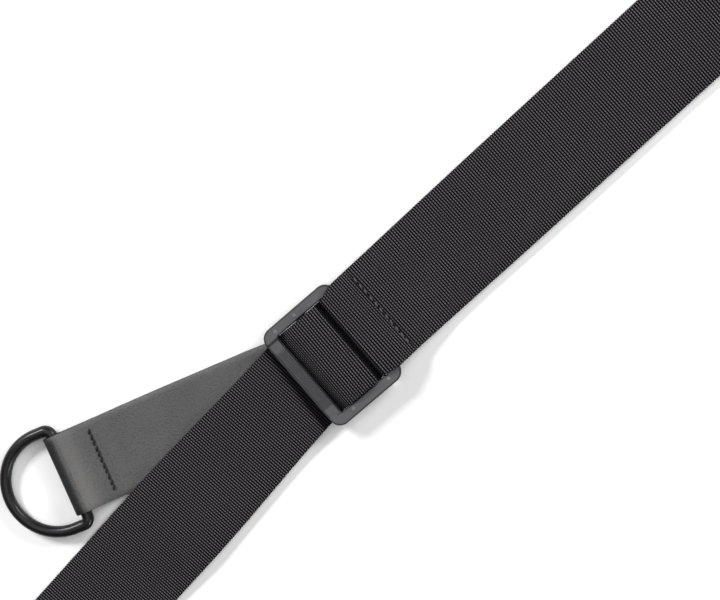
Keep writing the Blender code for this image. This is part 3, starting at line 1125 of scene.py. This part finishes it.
    def build_doubled(self) -> bpy.types.Object:
        """Makes the doubled end, from the sewn end to the slider's near bar."""
        lanes = self.layout
        course = Course(lanes.slider, ahead=lanes.doubled, behind=lanes.shoulder)
        piece, length = self.lay("webbing_doubled_end", course, self.doubled_points(), (
            "webbing_sewn_loop", "webbing_top_leg", "webbing_loop_bight", "webbing_under_leg",
            "webbing_through_slider",
        ))
        still, moved = lanes.doubled.spot(0.046, 0, 0.003), lanes.doubled.spot(0.236, 0, 0.003)
        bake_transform(piece)
        return piece

    def build_shoulder(self) -> bpy.types.Object:
        """Makes the shoulder run, the folded layers and the tail."""
        lanes = self.layout
        course = Course(lanes.slider, behind=lanes.shoulder)
        piece, length = self.lay("webbing_shoulder_end", course, self.shoulder_points(), (
            "webbing_shoulder_run", "webbing_bundle", "webbing_tail",
        ))
        still, moved = lanes.shoulder.spot(-0.024, 0, 0.003), lanes.shoulder.spot(-0.185, 0, 0.002)
        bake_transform(piece)
        return piece

    def build_stitches(self) -> bpy.types.Object:
        """Sews the end down just beyond the slider."""
        lane, height = self.layout.slider, 0.00690
        start = lane.spot(self.sewn_run, 0.0210, height)
        end = lane.spot(self.sewn_run, -0.0190, height)
        piece = sewn_row("sewn_end_stitches", start, end, 11, 0.70, 0.00050, slant=0.0002)
        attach(self.wardrobe.dress(piece, Slot.THREAD, ("sewn_loop_stitching",), GREY_THREAD), "slider")
        return piece

    def build(self) -> list[bpy.types.Object]:
        """Makes the webbing's two lengths and its sewn row."""
        return [self.build_doubled(), self.build_shoulder(), self.build_stitches()]


@dataclass
class Slider:
    """The moulded slider: a rim of two rails and two bars, a lower middle bar, thumb ribs and mould marks.

    Attributes:
        layout: The lanes.
        wardrobe: The finishes.
        half_size: Half its length and half its width.
        corner: The outer corners' radius.
        inner_half: Half the length and width of the space inside the rim.
        inner_corner: That space's corner radius.
        foot: The rim's lowest height.
        top: The rails' height.
        bar_drop: How much lower the two end bars are than the rails.
        rounding: The radius of the rim's long edges.
        rib_count: Thumb ribs along the near bar.
        rib_band: How much of the bar's length along X the ribs take.
        rib_height: Their height.
    """

    layout: Layout
    wardrobe: Wardrobe
    half_size: tuple[float, float] = (0.0204, 0.0280)
    corner: float = 0.0055
    inner_half: tuple[float, float] = (0.0139, 0.0227)
    inner_corner: float = 0.0012
    foot: float = 0.0054
    top: float = 0.0094
    bar_drop: float = 0.0009
    rounding: float = 0.00055
    rib_count: int = 5
    rib_band: float = 0.0048
    rib_height: float = 0.00045

    def rib_wave(self, x: np.ndarray) -> np.ndarray:
        """The positive half of cos(2 pi (x + near bar's distance) / spacing): 1 on a rib, 0 between two."""
        near_bar = 0.0169
        return np.clip(np.cos(TAU * (x + near_bar) * self.rib_count / self.rib_band), 0, 1)

    def rim_height(self, x: np.ndarray, y: np.ndarray) -> np.ndarray:
        """How far the top surface is from the rails' height.

        The bars lie bar_drop lower, with a step at the rails. On the near bar, ribs stand between two plain
        pads, along rib_wave.

        Args:
            x: Distances along the slider.
            y: Distances across it.

        Returns:
            The heights, in metres.
        """
        drop = -self.bar_drop * (1 - smooth_share(np.abs(y), 0.0216, 0.0223))
        near = (x > -0.0195) & (x < -0.0143)
        band = smooth_share(y, -0.0172, -0.0168) * (1 - smooth_share(y, 0.0160, 0.0164))
        return drop + self.rib_height * self.rib_wave(x) * band * near

    def rim_darkness(self, plan: np.ndarray, rise: np.ndarray, inset: np.ndarray) -> np.ndarray:
        """How dark the rim is: painted shade on sides, edges, between ribs and by the rails; the near bar
        darker.

        Args:
            plan: Each point's place from the slider's middle.
            rise: Each column's part of the section's height.
            inset: Each point's distance from the nearer edge.

        Returns:
            The shares, as (row, column).
        """
        x, y = plan[..., 0], np.abs(plan[..., 1])
        # Painted shade on the rim's sides and along its edges.
        edges = 1 - rise[None] ** 24 + 0.9 * (1 - smooth_share(inset, 0.0005, 0.0010))
        near = smooth_share(-x, 0.0135, 0.0140)
        # Painted shade in a line at the step from the near bar to each rail.
        line = smooth_share(y, 0.0214, 0.0218) * (1 - smooth_share(y, 0.0224, 0.0229))
        # Painted shade between the thumb ribs.
        valley = (1 - self.rib_wave(x)) * (y < 0.0168)
        bar = near * (1 - smooth_share(y, 0.0216, 0.0222))
        return np.clip(edges + 0.95 * line * near + bar * (0.10 + 0.50 * valley), 0, 1)

    @staticmethod
    def rim_section() -> tuple[np.ndarray, np.ndarray, np.ndarray]:
        """Walks round the rim's section: over the top from the outer side, and back underneath.

        Each of the four edges is a quarter circle with inset 1 - cos(angle) and rise sin(angle). The flats
        have inset 1 and rise 1 or -1. The lower flat has every fourth point of the upper one.

        Returns:
            The core, which goes from 0 at the outer side to 1 at the inner one, and the inset and the rise.
        """
        flat = np.linspace(0, 1, 52)
        below = flat[::-4]
        up = np.radians([0, 18, 36, 54, 72])
        down = up[::-1]
        top, bottom = np.ones(len(flat)), np.ones(len(below))
        core = np.concatenate([0 * up, flat, np.ones(2 * len(up) - 1), below, 0 * down[:-1]])
        inset = np.concatenate([
            1 - np.cos(up), top, 1 - np.cos(down), 1 - np.cos(up[1:]), bottom, 1 - np.cos(down[:-1]),
        ])
        rise = np.concatenate([np.sin(up), top, np.sin(down), -np.sin(up[1:]), -bottom, -np.sin(down[:-1])])
        return core, inset, rise

    def build_rim(self) -> bpy.types.Object:
        """Makes the rim: a rounded section carried round between the outer and the inner outline.

        A point is outer + (inner - outer) x share. On an edge, share lies inset x rounding in from its side.
        On a flat, it goes from one rounding inside the outer side to one inside the inner one. The top
        follows rim_height.

        Returns:
            The rim.
        """
        counts = (10, 26, 110)
        outer = rounded_outline(*self.half_size, self.corner, *counts)
        inner = rounded_outline(*self.inner_half, self.inner_corner, *counts)
        across = inner - outer
        wide = np.linalg.norm(across, axis=1)[:, None]
        margin = self.rounding / wide
        core, inset, rise = self.rim_section()
        inward = np.where(core > 0.5, -1.0, 1.0)
        on_edge, on_flat = core + inward * inset * margin, margin + core * (1 - 2 * margin)
        share = np.where(np.abs(rise) == 1, on_flat, on_edge)
        plan = outer[:, None] + across[:, None] * share[..., None]
        middle, half = (self.top + self.foot) / 2, (self.top - self.foot) / 2
        level = middle + np.sign(rise) * (half - self.rounding) + rise * self.rounding
        height = level + self.rim_height(plan[..., 0], plan[..., 1]) * np.clip(rise, 0, 1)
        # Painted shade on the rim's sides, edges, rib valleys and by the rails, and a darker near bar.
        dark = self.rim_darkness(plan, rise, np.minimum(share, 1 - share) * wide)
        lane = self.layout.slider
        grid = np.concatenate([plan + np.array([lane.x, lane.y]), height[..., None]], axis=-1)
        piece = make_mesh("slider_rim", grid[None], ring=True, edge=dark)
        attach(self.wardrobe.dress(piece, Slot.PLASTIC, ("slider_frame",)), "slider")
        return piece

    def build_middle_bar(self) -> bpy.types.Object:
        """Makes the middle bar: a superellipse section, |x/a|^4 + |z/b|^4 = 1, carried across."""
        half_length, half_thick, half_span, height = 0.003, 0.0012, 0.0230, 0.0066
        turn = np.linspace(0, TAU, 32, endpoint=False)
        cosine, sine = np.cos(turn), np.sin(turn)
        x = half_length * np.sign(cosine) * np.abs(cosine) ** 0.5
        z = half_thick * np.sign(sine) * np.abs(sine) ** 0.5
        y = np.linspace(-half_span, half_span, 24)
        lane = self.layout.slider
        places = np.broadcast_arrays(lane.x + x, lane.y + y[:, None], height + z)
        piece = make_mesh("slider_middle_bar", np.stack(places, -1)[None])
        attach(self.wardrobe.dress(piece, Slot.PLASTIC), "slider")
        return piece

    def build_mould_marks(self) -> bpy.types.Object:
        """Makes the round marks on the rails: low domes of 0.95 mm radius, from rings of falling radius."""
        lane = self.layout.slider
        spots = np.array([(-0.0128, 0.0252), (-0.0012, 0.0252), (0.0128, -0.0248), (-0.0085, -0.0248)])
        radius = 0.00095
        share = np.array([0.06, 0.5, 1.0, 0.93, 0.7, 0.35, 0.06])
        lift = np.array([-0.0002, -0.0002, -0.0002, 0.00003, 0.00007, 0.00009, 0.0001])
        turn = np.linspace(0, TAU, 20, endpoint=False)
        ring = np.stack([np.outer(share, np.cos(turn)), np.outer(share, np.sin(turn))], -1) * radius
        plan = ring[None] + spots[:, None, None] + np.array([lane.x, lane.y])
        height = np.broadcast_to(self.top + lift[:, None], plan.shape[:-1])
        piece = make_mesh("slider_mould_marks", np.concatenate([plan, height[..., None]], -1))
        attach(self.wardrobe.dress(piece, Slot.PLASTIC, finish=PALE_PLASTIC), "slider")
        return piece

    def build(self) -> list[bpy.types.Object]:
        """Makes the rim, the middle bar and the mould marks."""
        return [self.build_rim(), self.build_middle_bar(), self.build_mould_marks()]


@dataclass
class PullTab:
    """The leather pull tab, from its end under the slider round the middle bar to the fold at the D-ring.

    Attributes:
        layout: The lanes.
        wardrobe: The finishes.
        half_width: Half the tab's width.
        wrap_half_width: Half its width round the middle bar.
        fold_half_width: Half its width at the D-ring.
        thickness: The leather's thickness.
        stitch_run: The distance of the seam from the slider.
    """

    layout: Layout
    wardrobe: Wardrobe
    half_width: float = 0.0201
    wrap_half_width: float = 0.0198
    fold_half_width: float = 0.0196
    thickness: float = 0.0015
    stitch_run: float = 0.1213

    def points(self) -> list[tuple[float, float]]:
        """The leather's path from its hidden end to the end sewn behind the fold."""
        wrap = [
            (-26, 2.7), (-20, 2.7), (-15, 2.72), (-10.5, 2.98), (-6.7, 4.9), (-5.3, 6.6), (-4.2, 8.05),
            (-1.8, 8.8), (1.8, 8.8), (4.1, 8.05), (4.9, 6.5), (4.2, 5.0), (1.5, 4.3), (-2.5, 4.15),
            (-6.5, 2.9), (-11.5, 1.15), (-18, 0.9), (-26, 0.9),
        ]
        tab = [
            (-40, 0.82), (-70, 0.8), (-98, 0.82), (-107, 0.95), (-112, 1.3), (-116.5, 2.3), (-121.3, 2.7),
            (-127, 3.8), (-132, 6.1), (-136, 7.8), (-139, 8.05), (-141.3, 6.9), (-142, 4.8), (-141.2, 2.4),
            (-138.8, 1.0), (-136.6, 0.85), (-132, 0.82), (-118, 0.8),
        ]
        return wrap + tab

    def painted_shade_and_highlight(self, path: np.ndarray, plan: np.ndarray) -> np.ndarray:
        """Painted shade on the fold and the seam, up to 1, and a painted highlight on the slope by the ring,
        down to -1.

        Args:
            path: The (run, height) rows.
            plan: Each point's place on the surface, as (row, column, 2).

        Returns:
            The shares, as (row, column).
        """
        run, height = path[:, :1], path[:, 1:]
        across = (plan - self.layout.tab.at(np.array(0.0))) @ self.layout.tab.left()
        # Painted shade on the fold's face at the D-ring.
        fold = 0.85 * smooth_share(-run, 0.1362, 0.1388) * (height > 0.0035)
        # Painted shade in the groove along the seam.
        seam = 0.62 * np.exp(-(((run + self.stitch_run) / 0.0008) ** 2)) * (np.abs(across) < 0.0162)
        # Painted highlight on the slope by the D-ring.
        slope = np.exp(-(((run + 0.1335) / 0.0045) ** 2)) * (0.55 - 9 * across)
        painted_light_mask = np.where(seam > 0.1, seam, -np.clip(slope, 0, 1))
        return np.where(fold > 0.02, fold, painted_light_mask) * (height > 0.0015)

    def build_leather(self) -> bpy.types.Object:
        """Makes the leather as one strip."""
        lanes = self.layout
        course = Course(lanes.slider, behind=lanes.tab, behind_span=(0.003, 0.024))
        strip = Strip(course, self.points(), self.thickness, Section(15, 0.00028, 3), 0.0006)
        run = strip.path()[:, 0]
        grown = smooth_share(-run, 0.026, 0.04)
        wide = self.wrap_half_width + (self.half_width - self.wrap_half_width) * grown
        wide = wide + (self.fold_half_width - wide) * smooth_share(-run, 0.080, 0.138)
        # The leather gets painted shade on its fold and seam and a painted highlight on its slope.
        piece = strip.build("pull_tab_leather", wide, wave=0.00003, painted_light_mask=self.painted_shade_and_highlight)
        self.wardrobe.dress(piece, Slot.LEATHER, ("bar_wrap", "pull_tab"))
        still, moved = lanes.tab.spot(-0.010, 0, 0.001), lanes.tab.spot(-0.045, 0, 0.001)
        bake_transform(piece)
        flat = (2 * self.half_width, strip.length())
        return piece

    def build_stitches(self) -> bpy.types.Object:
        """Sews the fold behind the D-ring."""
        lane = self.layout.tab
        start = lane.spot(-self.stitch_run, 0.0158, 0.00362)
        end = lane.spot(-self.stitch_run, -0.0158, 0.00362)
        piece = sewn_row("pull_tab_stitches", start, end, 11, 0.86, 0.00058, slant=0.00060)
        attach(self.wardrobe.dress(piece, Slot.THREAD, ("pull_tab_stitching",)), "pull_tab")
        return piece

    def build(self) -> list[bpy.types.Object]:
        """Makes the leather and its seam."""
        return [self.build_leather(), self.build_stitches()]


@dataclass
class Rings:
    """The D-ring in the pull tab and the wire loop at the doubled end.

    Attributes:
        layout: The lanes.
        wardrobe: The finishes.
        joints: Each joint's place by name.
        ring_radius: The D-ring wire's radius.
        ring_half_width: Half the D-ring's width, between the wire's middles, and its round end's radius.
        ring_shift: How far the D-ring lies to the side of its joint.
        ring_straight: From the D-ring's bar to the middle of its round end.
        ring_corner: The radius of the corners at its bar.
        ring_droop: Degrees that it slopes down from its bar.
        loop_radius: The wire loop's radius.
        loop_spacing: From one long side of the wire loop to the other.
        loop_half_width: Half its width.
        loop_corner: Its corners' radius.
    """

    layout: Layout
    wardrobe: Wardrobe
    joints: dict[str, tuple[float, float, float]]
    ring_radius: float = 0.00275
    ring_half_width: float = 0.0239
    ring_shift: float = 0.0009
    ring_straight: float = 0.008
    ring_corner: float = 0.0034
    ring_droop: float = 3.0
    loop_radius: float = 0.002
    loop_spacing: float = 0.016
    loop_half_width: float = 0.02825
    loop_corner: float = 0.004

    @staticmethod
    def arc(middle: tuple[float, float], radius: float, start: float, end: float, count: int) -> np.ndarray:
        """Points on an arc between two angles in degrees."""
        turn = np.radians(np.linspace(start, end, count))
        return np.column_stack([middle[0] + radius * np.cos(turn), middle[1] + radius * np.sin(turn)])

    def place(self, outline: np.ndarray, joint: str, along: np.ndarray, left: np.ndarray) -> np.ndarray:
        """Turns an outline into one path: joint + outline's x times along + outline's y times left."""
        path = np.array(self.joints[joint]) + outline[:, :1] * along + outline[:, 1:] * left
        return path[None]

    def build_d_ring(self) -> bpy.types.Object:
        """Makes the D-ring: a straight bar, two tight corners and a half circle of round wire."""
        half, corner, straight = self.ring_half_width, self.ring_corner, self.ring_straight
        bar = np.linspace(half - corner, corner - half, 22)[1:-1]
        outline = np.vstack([
            np.column_stack([np.zeros(len(bar)), bar]),
            self.arc((corner, corner - half), corner, 180, 270, 12),
            self.arc((straight, 0), half, -90, 90, 90),
            self.arc((corner, half - corner), corner, 90, 180, 12),
        ])
        lane = self.layout.tab
        droop = math.radians(self.ring_droop)
        along = np.append(-lane.along() * math.cos(droop), -math.sin(droop))
        left = np.append(-lane.left(), 0)
        path = self.place(outline + np.array([0, self.ring_shift]), "d_ring_swing", along, left)
        piece = make_tubes("d_ring_wire", path, self.ring_radius, np.cross(along, left), 24, ring=True)
        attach(self.wardrobe.dress(piece, Slot.METAL, ("d_ring",)), "d_ring")
        return piece

    def build_wire_loop(self) -> bpy.types.Object:
        """Makes the wire loop: a rectangle of round wire with rounded corners."""
        outline = rounded_outline(self.loop_spacing / 2, self.loop_half_width, self.loop_corner, 10, 8, 40)
        lane = self.layout.loop
        along, left = np.append(lane.along(), 0), np.append(lane.left(), 0)
        path = self.place(outline + np.array([self.loop_spacing / 2, 0]), "wire_loop_swing", along, left)
        piece = make_tubes("wire_loop_bar", path, self.loop_radius, UPWARDS, 20, ring=True)
        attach(self.wardrobe.dress(piece, Slot.METAL, ("wire_loop",)), "wire_loop")
        return piece

    def build(self) -> list[bpy.types.Object]:
        """Makes the D-ring and the wire loop."""
        return [self.build_d_ring(), self.build_wire_loop()]


@dataclass
class ButtonTabs:
    """The two leather button tabs, one at each end of the strap.

    Attributes:
        layout: The lanes.
        wardrobe: The finishes.
        length: A tab's length from its fold to its tip.
        half_width: Half its width at the strap.
        tip_radius: The round tip's radius.
        thickness: The leather's thickness.
        hole_distance: From the fold to the button hole.
        hole_radius: The hole's radius.
        slit_length: The slit's length.
        fold_run: The run of tab A's fold.
        sewn_start: The distance of tab B's wide end from the shoulder lane's start.
        seam_half_width: Half a seam's length across a tab.
        thread: The thread's radius.
    """

    layout: Layout
    wardrobe: Wardrobe
    length: float = 0.092
    half_width: float = 0.0254
    tip_radius: float = 0.014
    thickness: float = 0.0016
    hole_distance: float = 0.076
    hole_radius: float = 0.0042
    slit_length: float = 0.012
    fold_run: float = 0.268
    sewn_start: float = 0.288
    seam_half_width: float = 0.0225
    thread: float = 0.00036

    def width_at(self, reach: np.ndarray) -> np.ndarray:
        """Half the width from the fold on: even, eased to the tip's radius, then a half circle."""
        tip, narrowest = self.length - self.tip_radius, 0.0007
        ease = smooth_share(reach, 0.026, tip)
        wide = self.half_width + (self.tip_radius - self.half_width) * ease
        square = self.tip_radius**2 - np.clip(reach - tip, 0, None) ** 2
        return np.where(reach > tip, np.sqrt(np.clip(square, narrowest**2, None)), wide)

    def reaches(self, *start: float) -> list[float]:
        """Distances from the fold in millimetres: the given ones, then closer and closer round the tip."""
        radius = self.tip_radius / MM
        tip = (self.length - self.tip_radius) / MM
        return [*start, *(tip + radius * math.sin(math.radians(turn)) for turn in range(10, 91, 10))]

    def cut_hole(self, piece: bpy.types.Object, lane: Lane, run: float) -> None:
        """Cuts the keyhole: a round hole with a slit towards the strap, straight through.

        The cutter's chart and its attribute give the cut walls the dark colour of a cut edge.

        Args:
            piece: The tab.
            lane: The lane that it lies on.
            run: The hole's run.
        """
        slit = 0.0005
        opening = math.asin(slit / self.hole_radius)
        turn = np.linspace(-math.pi + opening, math.pi - opening, 49)
        outline = self.hole_radius * np.column_stack([np.cos(turn), np.sin(turn)])
        foot = -self.hole_radius - self.slit_length
        outline = np.vstack([outline, [(foot, slit), (foot, -slit)]])
        plan = lane.at(np.array(run)) + outline[:, :1] * lane.along() + outline[:, 1:] * lane.left()
        levels = np.array([-0.004, 0.0, 0.020, 0.024])
        grid = np.stack([np.column_stack([plan, np.full(len(plan), z)]) for z in levels])
        chart, edge = np.zeros((*grid.shape[:2], 2)), np.ones(grid.shape[:2])
        cutter = make_mesh("keyhole_cutter", grid[None], chart, edge=edge)
        modifier = piece.modifiers.new("keyhole", "BOOLEAN")
        modifier.operation = "DIFFERENCE"
        modifier.solver = "EXACT"
        modifier.object = cutter
        bpy.context.view_layer.update()
        shape = piece.evaluated_get(bpy.context.evaluated_depsgraph_get())
        cut = bpy.data.meshes.new_from_object(shape)
        piece.modifiers.clear()
        piece.data = cut
        bpy.data.objects.remove(cutter)

    def make_leather(
        self,
        name: str,
        node: str,
        course: Course,
        lane: Lane,
        start: float,
        points: list[tuple[float, float]],
    ) -> tuple[bpy.types.Object, dict[str, object]]:
        """Makes one leather of a tab, with its keyhole, and dresses it.

        Args:
            name: The piece's name.
            node: The CAD node that it replaces.
            course: The line that it follows.
            lane: The lane that its hole lies on.
            start: The run of the tab's fold or wide end.
            points: (distance from start, height) points in millimetres.
        """
        places = [(start / MM + reach, height) for reach, height in points]
        strip = Strip(course, places, self.thickness, Section(13, 0.0003, 3), 0.0006)
        wide = self.width_at(strip.path()[:, 0] - start)
        piece = strip.build(name, wide, wave=0.00002)
        self.cut_hole(piece, lane, start + self.hole_distance)
        self.wardrobe.dress(piece, Slot.LEATHER, (node,))
        flat = (2 * self.half_width, strip.length())
        area = min(float(np.sum(2 * wide) * strip.step), flat[0] * flat[1])
        return piece, {"flat": flat, "area": area}

    def build_looped(self) -> bpy.types.Object:
        """Makes tab A: one leather folded round the wire loop, its two halves closed on each other."""
        reach = self.reaches(30, 40, 50, 60, 70)
        turn = np.radians(np.linspace(80, 270, 10))
        upper = [(x, 2.7) for x in reversed(reach)] + [(24, 2.75), (17, 3.4), (10, 5.4), (4.2, 6.9)]
        fold = [(3.1 * math.cos(a), 4.2 + 3.1 * math.sin(a)) for a in turn]
        lower = [(8, 0.9), (16, 0.85), (24, 0.8)] + [(x, 0.8) for x in reach]
        lane = self.layout.loop
        course = Course(self.layout.slider, ahead=lane)
        piece, size = self.make_leather(
            "button_tab_a_leather", "button_tab_a", course, lane, self.fold_run, upper + fold + lower
        )
        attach(piece, "button_tab_a")
        return piece

    def build_sewn(self) -> list[bpy.types.Object]:
        """Makes tab B: two layers of leather, sewn on both faces of the webbing's tail."""
        lane = self.layout.shoulder
        course, start = Course(self.layout.slider, behind=lane), lane.run - self.sewn_start
        reach = self.reaches(36, 40, 50, 60, 70)
        over_tail = [(0, 13.7), (6, 13.7), (12, 13.7), (24, 13.65), (29, 12.7), (33, 12.05)]
        sides = {
            "front": over_tail + [(x, 12.0) for x in reach],
            "back": [(x, 10.1) for x in (0, 12, 24, *reach)],
        }
        made = []
        for side, points in sides.items():
            node = f"button_tab_b_{side}"
            piece, size = self.make_leather(f"{node}_leather", node, course, lane, start, points)
            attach(piece, "shoulder")
            made.append(piece)
        return made

    def build_stitches(self) -> list[bpy.types.Object]:
        """Sews one row across tab A and a box on tab B."""
        ahead, behind, half = self.layout.loop, self.layout.shoulder, self.seam_half_width
        run, height, box_height = self.fold_run + 0.026, 0.00362, 0.01462
        across, share = 15, 0.78
        start, end = ahead.spot(run, half, height), ahead.spot(run, -half, height)
        row = sewn_row("button_tab_a_stitches", start, end, across, share, self.thread)
        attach(self.wardrobe.dress(row, Slot.THREAD, ("button_tab_a_stitching",)), "button_tab_a")
        made = [row]
        near, far = (behind.run - self.sewn_start + reach for reach in (0.023, 0.004))
        corners = [(near, -half), (near, half), (far, half), (far, -half), (near, -half)]
        for index, (here, there) in enumerate(zip(corners, corners[1:])):
            count = across if index % 2 == 0 else 6
            start, end = behind.spot(*here, box_height), behind.spot(*there, box_height)
            side = sewn_row(f"button_tab_b_stitches_{index + 1}", start, end, count, share, self.thread)
            nodes = ("button_tab_b_stitching",) if index == 0 else ()
            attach(self.wardrobe.dress(side, Slot.THREAD, nodes), "shoulder")
            made.append(side)
        return made

    def build(self) -> list[bpy.types.Object]:
        """Makes tab A, tab B and their seams."""
        return [self.build_looped(), *self.build_sewn(), *self.build_stitches()]


# ---------------------------------------------------------------- the studio


@dataclass(frozen=True)
class Lamp:
    """A soft rectangular light.

    Attributes:
        name: Its name.
        place: Where it is.
        size: Its sides, in metres.
        power: Its power in watts.
        colour: Its colour.
    """

    name: str
    place: tuple[float, float, float]
    size: tuple[float, float]
    power: float
    colour: Colour = (1.0, 1.0, 1.0)

    def build(self) -> None:
        """Adds the light, facing the world's origin."""
        light = bpy.data.lights.new(self.name, "AREA")
        light.shape = "RECTANGLE"
        light.size, light.size_y = self.size
        light.energy = self.power
        light.color = self.colour
        made = bpy.data.objects.new(self.name, light)
        made.location = self.place
        x, y, z = self.place
        made.rotation_euler = (math.atan2(math.hypot(x, y), z), 0, math.atan2(x, -y))
        bpy.context.scene.collection.objects.link(made)


@dataclass(frozen=True)
class Studio:
    """The pale surface, the lights, the surroundings and the camera.

    Attributes:
        lamps: The lights.
        ambient: How bright the surroundings are.
        eye: The camera's place.
        right: The camera's right-hand vector.
        back: The vector from what it looks at towards the camera.
        lens: Its focal length in millimetres on a 36 mm wide sensor.
    """

    lamps: tuple[Lamp, ...] = (
        Lamp("overhead_softbox", (0.05, 0.05, 1.5), (1.6, 1.6), 10.9),
        Lamp("key", (-0.24, 1.07, 0.78), (0.45, 0.30), 15.8),
        Lamp("low_fill", (0.1, -1.2, 0.55), (0.5, 0.3), 6.0),
        Lamp("end_light", (1.2, 0.1, 0.7), (0.6, 0.4), 12.0),
    )
    ambient: float = 0.15
    eye: tuple[float, float, float] = (0.121656, 0.025021, 0.792890)
    right: tuple[float, float, float] = (0.752999, -0.652011, -0.088737)
    back: tuple[float, float, float] = (0.131042, 0.016433, 0.991241)
    lens: float = 87.095

    def build_surface(self) -> None:
        """Adds the pale surface just under the strap."""
        mesh = bpy.data.meshes.new("pale_surface")
        half, height = 4.0, -0.0001
        corners = [(-half, -half), (half, -half), (half, half), (-half, half)]
        mesh.from_pydata([(x, y, height) for x, y in corners], [], [(0, 1, 2, 3)])
        made = bpy.data.objects.new("pale_surface", mesh)
        bpy.context.scene.collection.objects.link(made)
        material = bpy.data.materials.new("pale_paper")
        material.use_nodes = True
        shader = material.node_tree.nodes["Principled BSDF"]
        shader.inputs["Base Color"].default_value = (0.9, 0.9, 0.9, 1)
        shader.inputs["Roughness"].default_value = 0.9
        shader.inputs["Specular IOR Level"].default_value = 0.1
        mesh.materials.append(material)

    def build_world(self) -> None:
        """Sets even white surroundings, shown without a film curve."""
        world = bpy.data.worlds.new("studio")
        world.use_nodes = True
        world.node_tree.nodes["Background"].inputs["Strength"].default_value = self.ambient
        bpy.context.scene.world = world
        bpy.context.scene.view_settings.view_transform = "Standard"

    def build_camera(self) -> None:
        """Adds the camera from its right and back vectors; up is back crossed with right."""
        camera = bpy.data.cameras.new("camera")
        camera.lens = self.lens
        camera.sensor_width = 36.0
        camera.clip_start = 0.01
        made = bpy.data.objects.new("camera", camera)
        back = np.array(self.back) / np.linalg.norm(self.back)
        right = np.array(self.right) - np.dot(self.right, back) * back
        right = right / np.linalg.norm(right)
        turned = np.column_stack([right, np.cross(back, right), back, self.eye])
        made.matrix_world = Matrix([*turned.tolist(), (0, 0, 0, 1)])
        bpy.context.scene.collection.objects.link(made)
        bpy.context.scene.camera = made

    def build(self) -> None:
        """Sets up the whole studio."""
        self.build_surface()
        self.build_world()
        for lamp in self.lamps:
            lamp.build()
        self.build_camera()


def main() -> None:
    """Builds the studio, then each sub-assembly in order, and reports its pieces."""
    logging.basicConfig(level=logging.INFO, format="%(message)s", stream=sys.stdout)
    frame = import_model()
    layout = Layout.read()
    wardrobe = Wardrobe()
    joints = {joint["name"]: tuple(joint["pos_m"]) for joint in frame["joints"] if "pos_m" in joint}
    Studio().build()
    parts = (
        Rings(layout, wardrobe, joints),
        Slider(layout, wardrobe),
        Webbing(layout, wardrobe),
        PullTab(layout, wardrobe),
        ButtonTabs(layout, wardrobe),
    )
    for part in parts:
        for piece in part.build():
            mesh = piece.data
            LOG.info("%s: %d faces, %s", piece.name, len(mesh.polygons), mesh.materials[0].name)


if __name__ == "__main__":
    main()
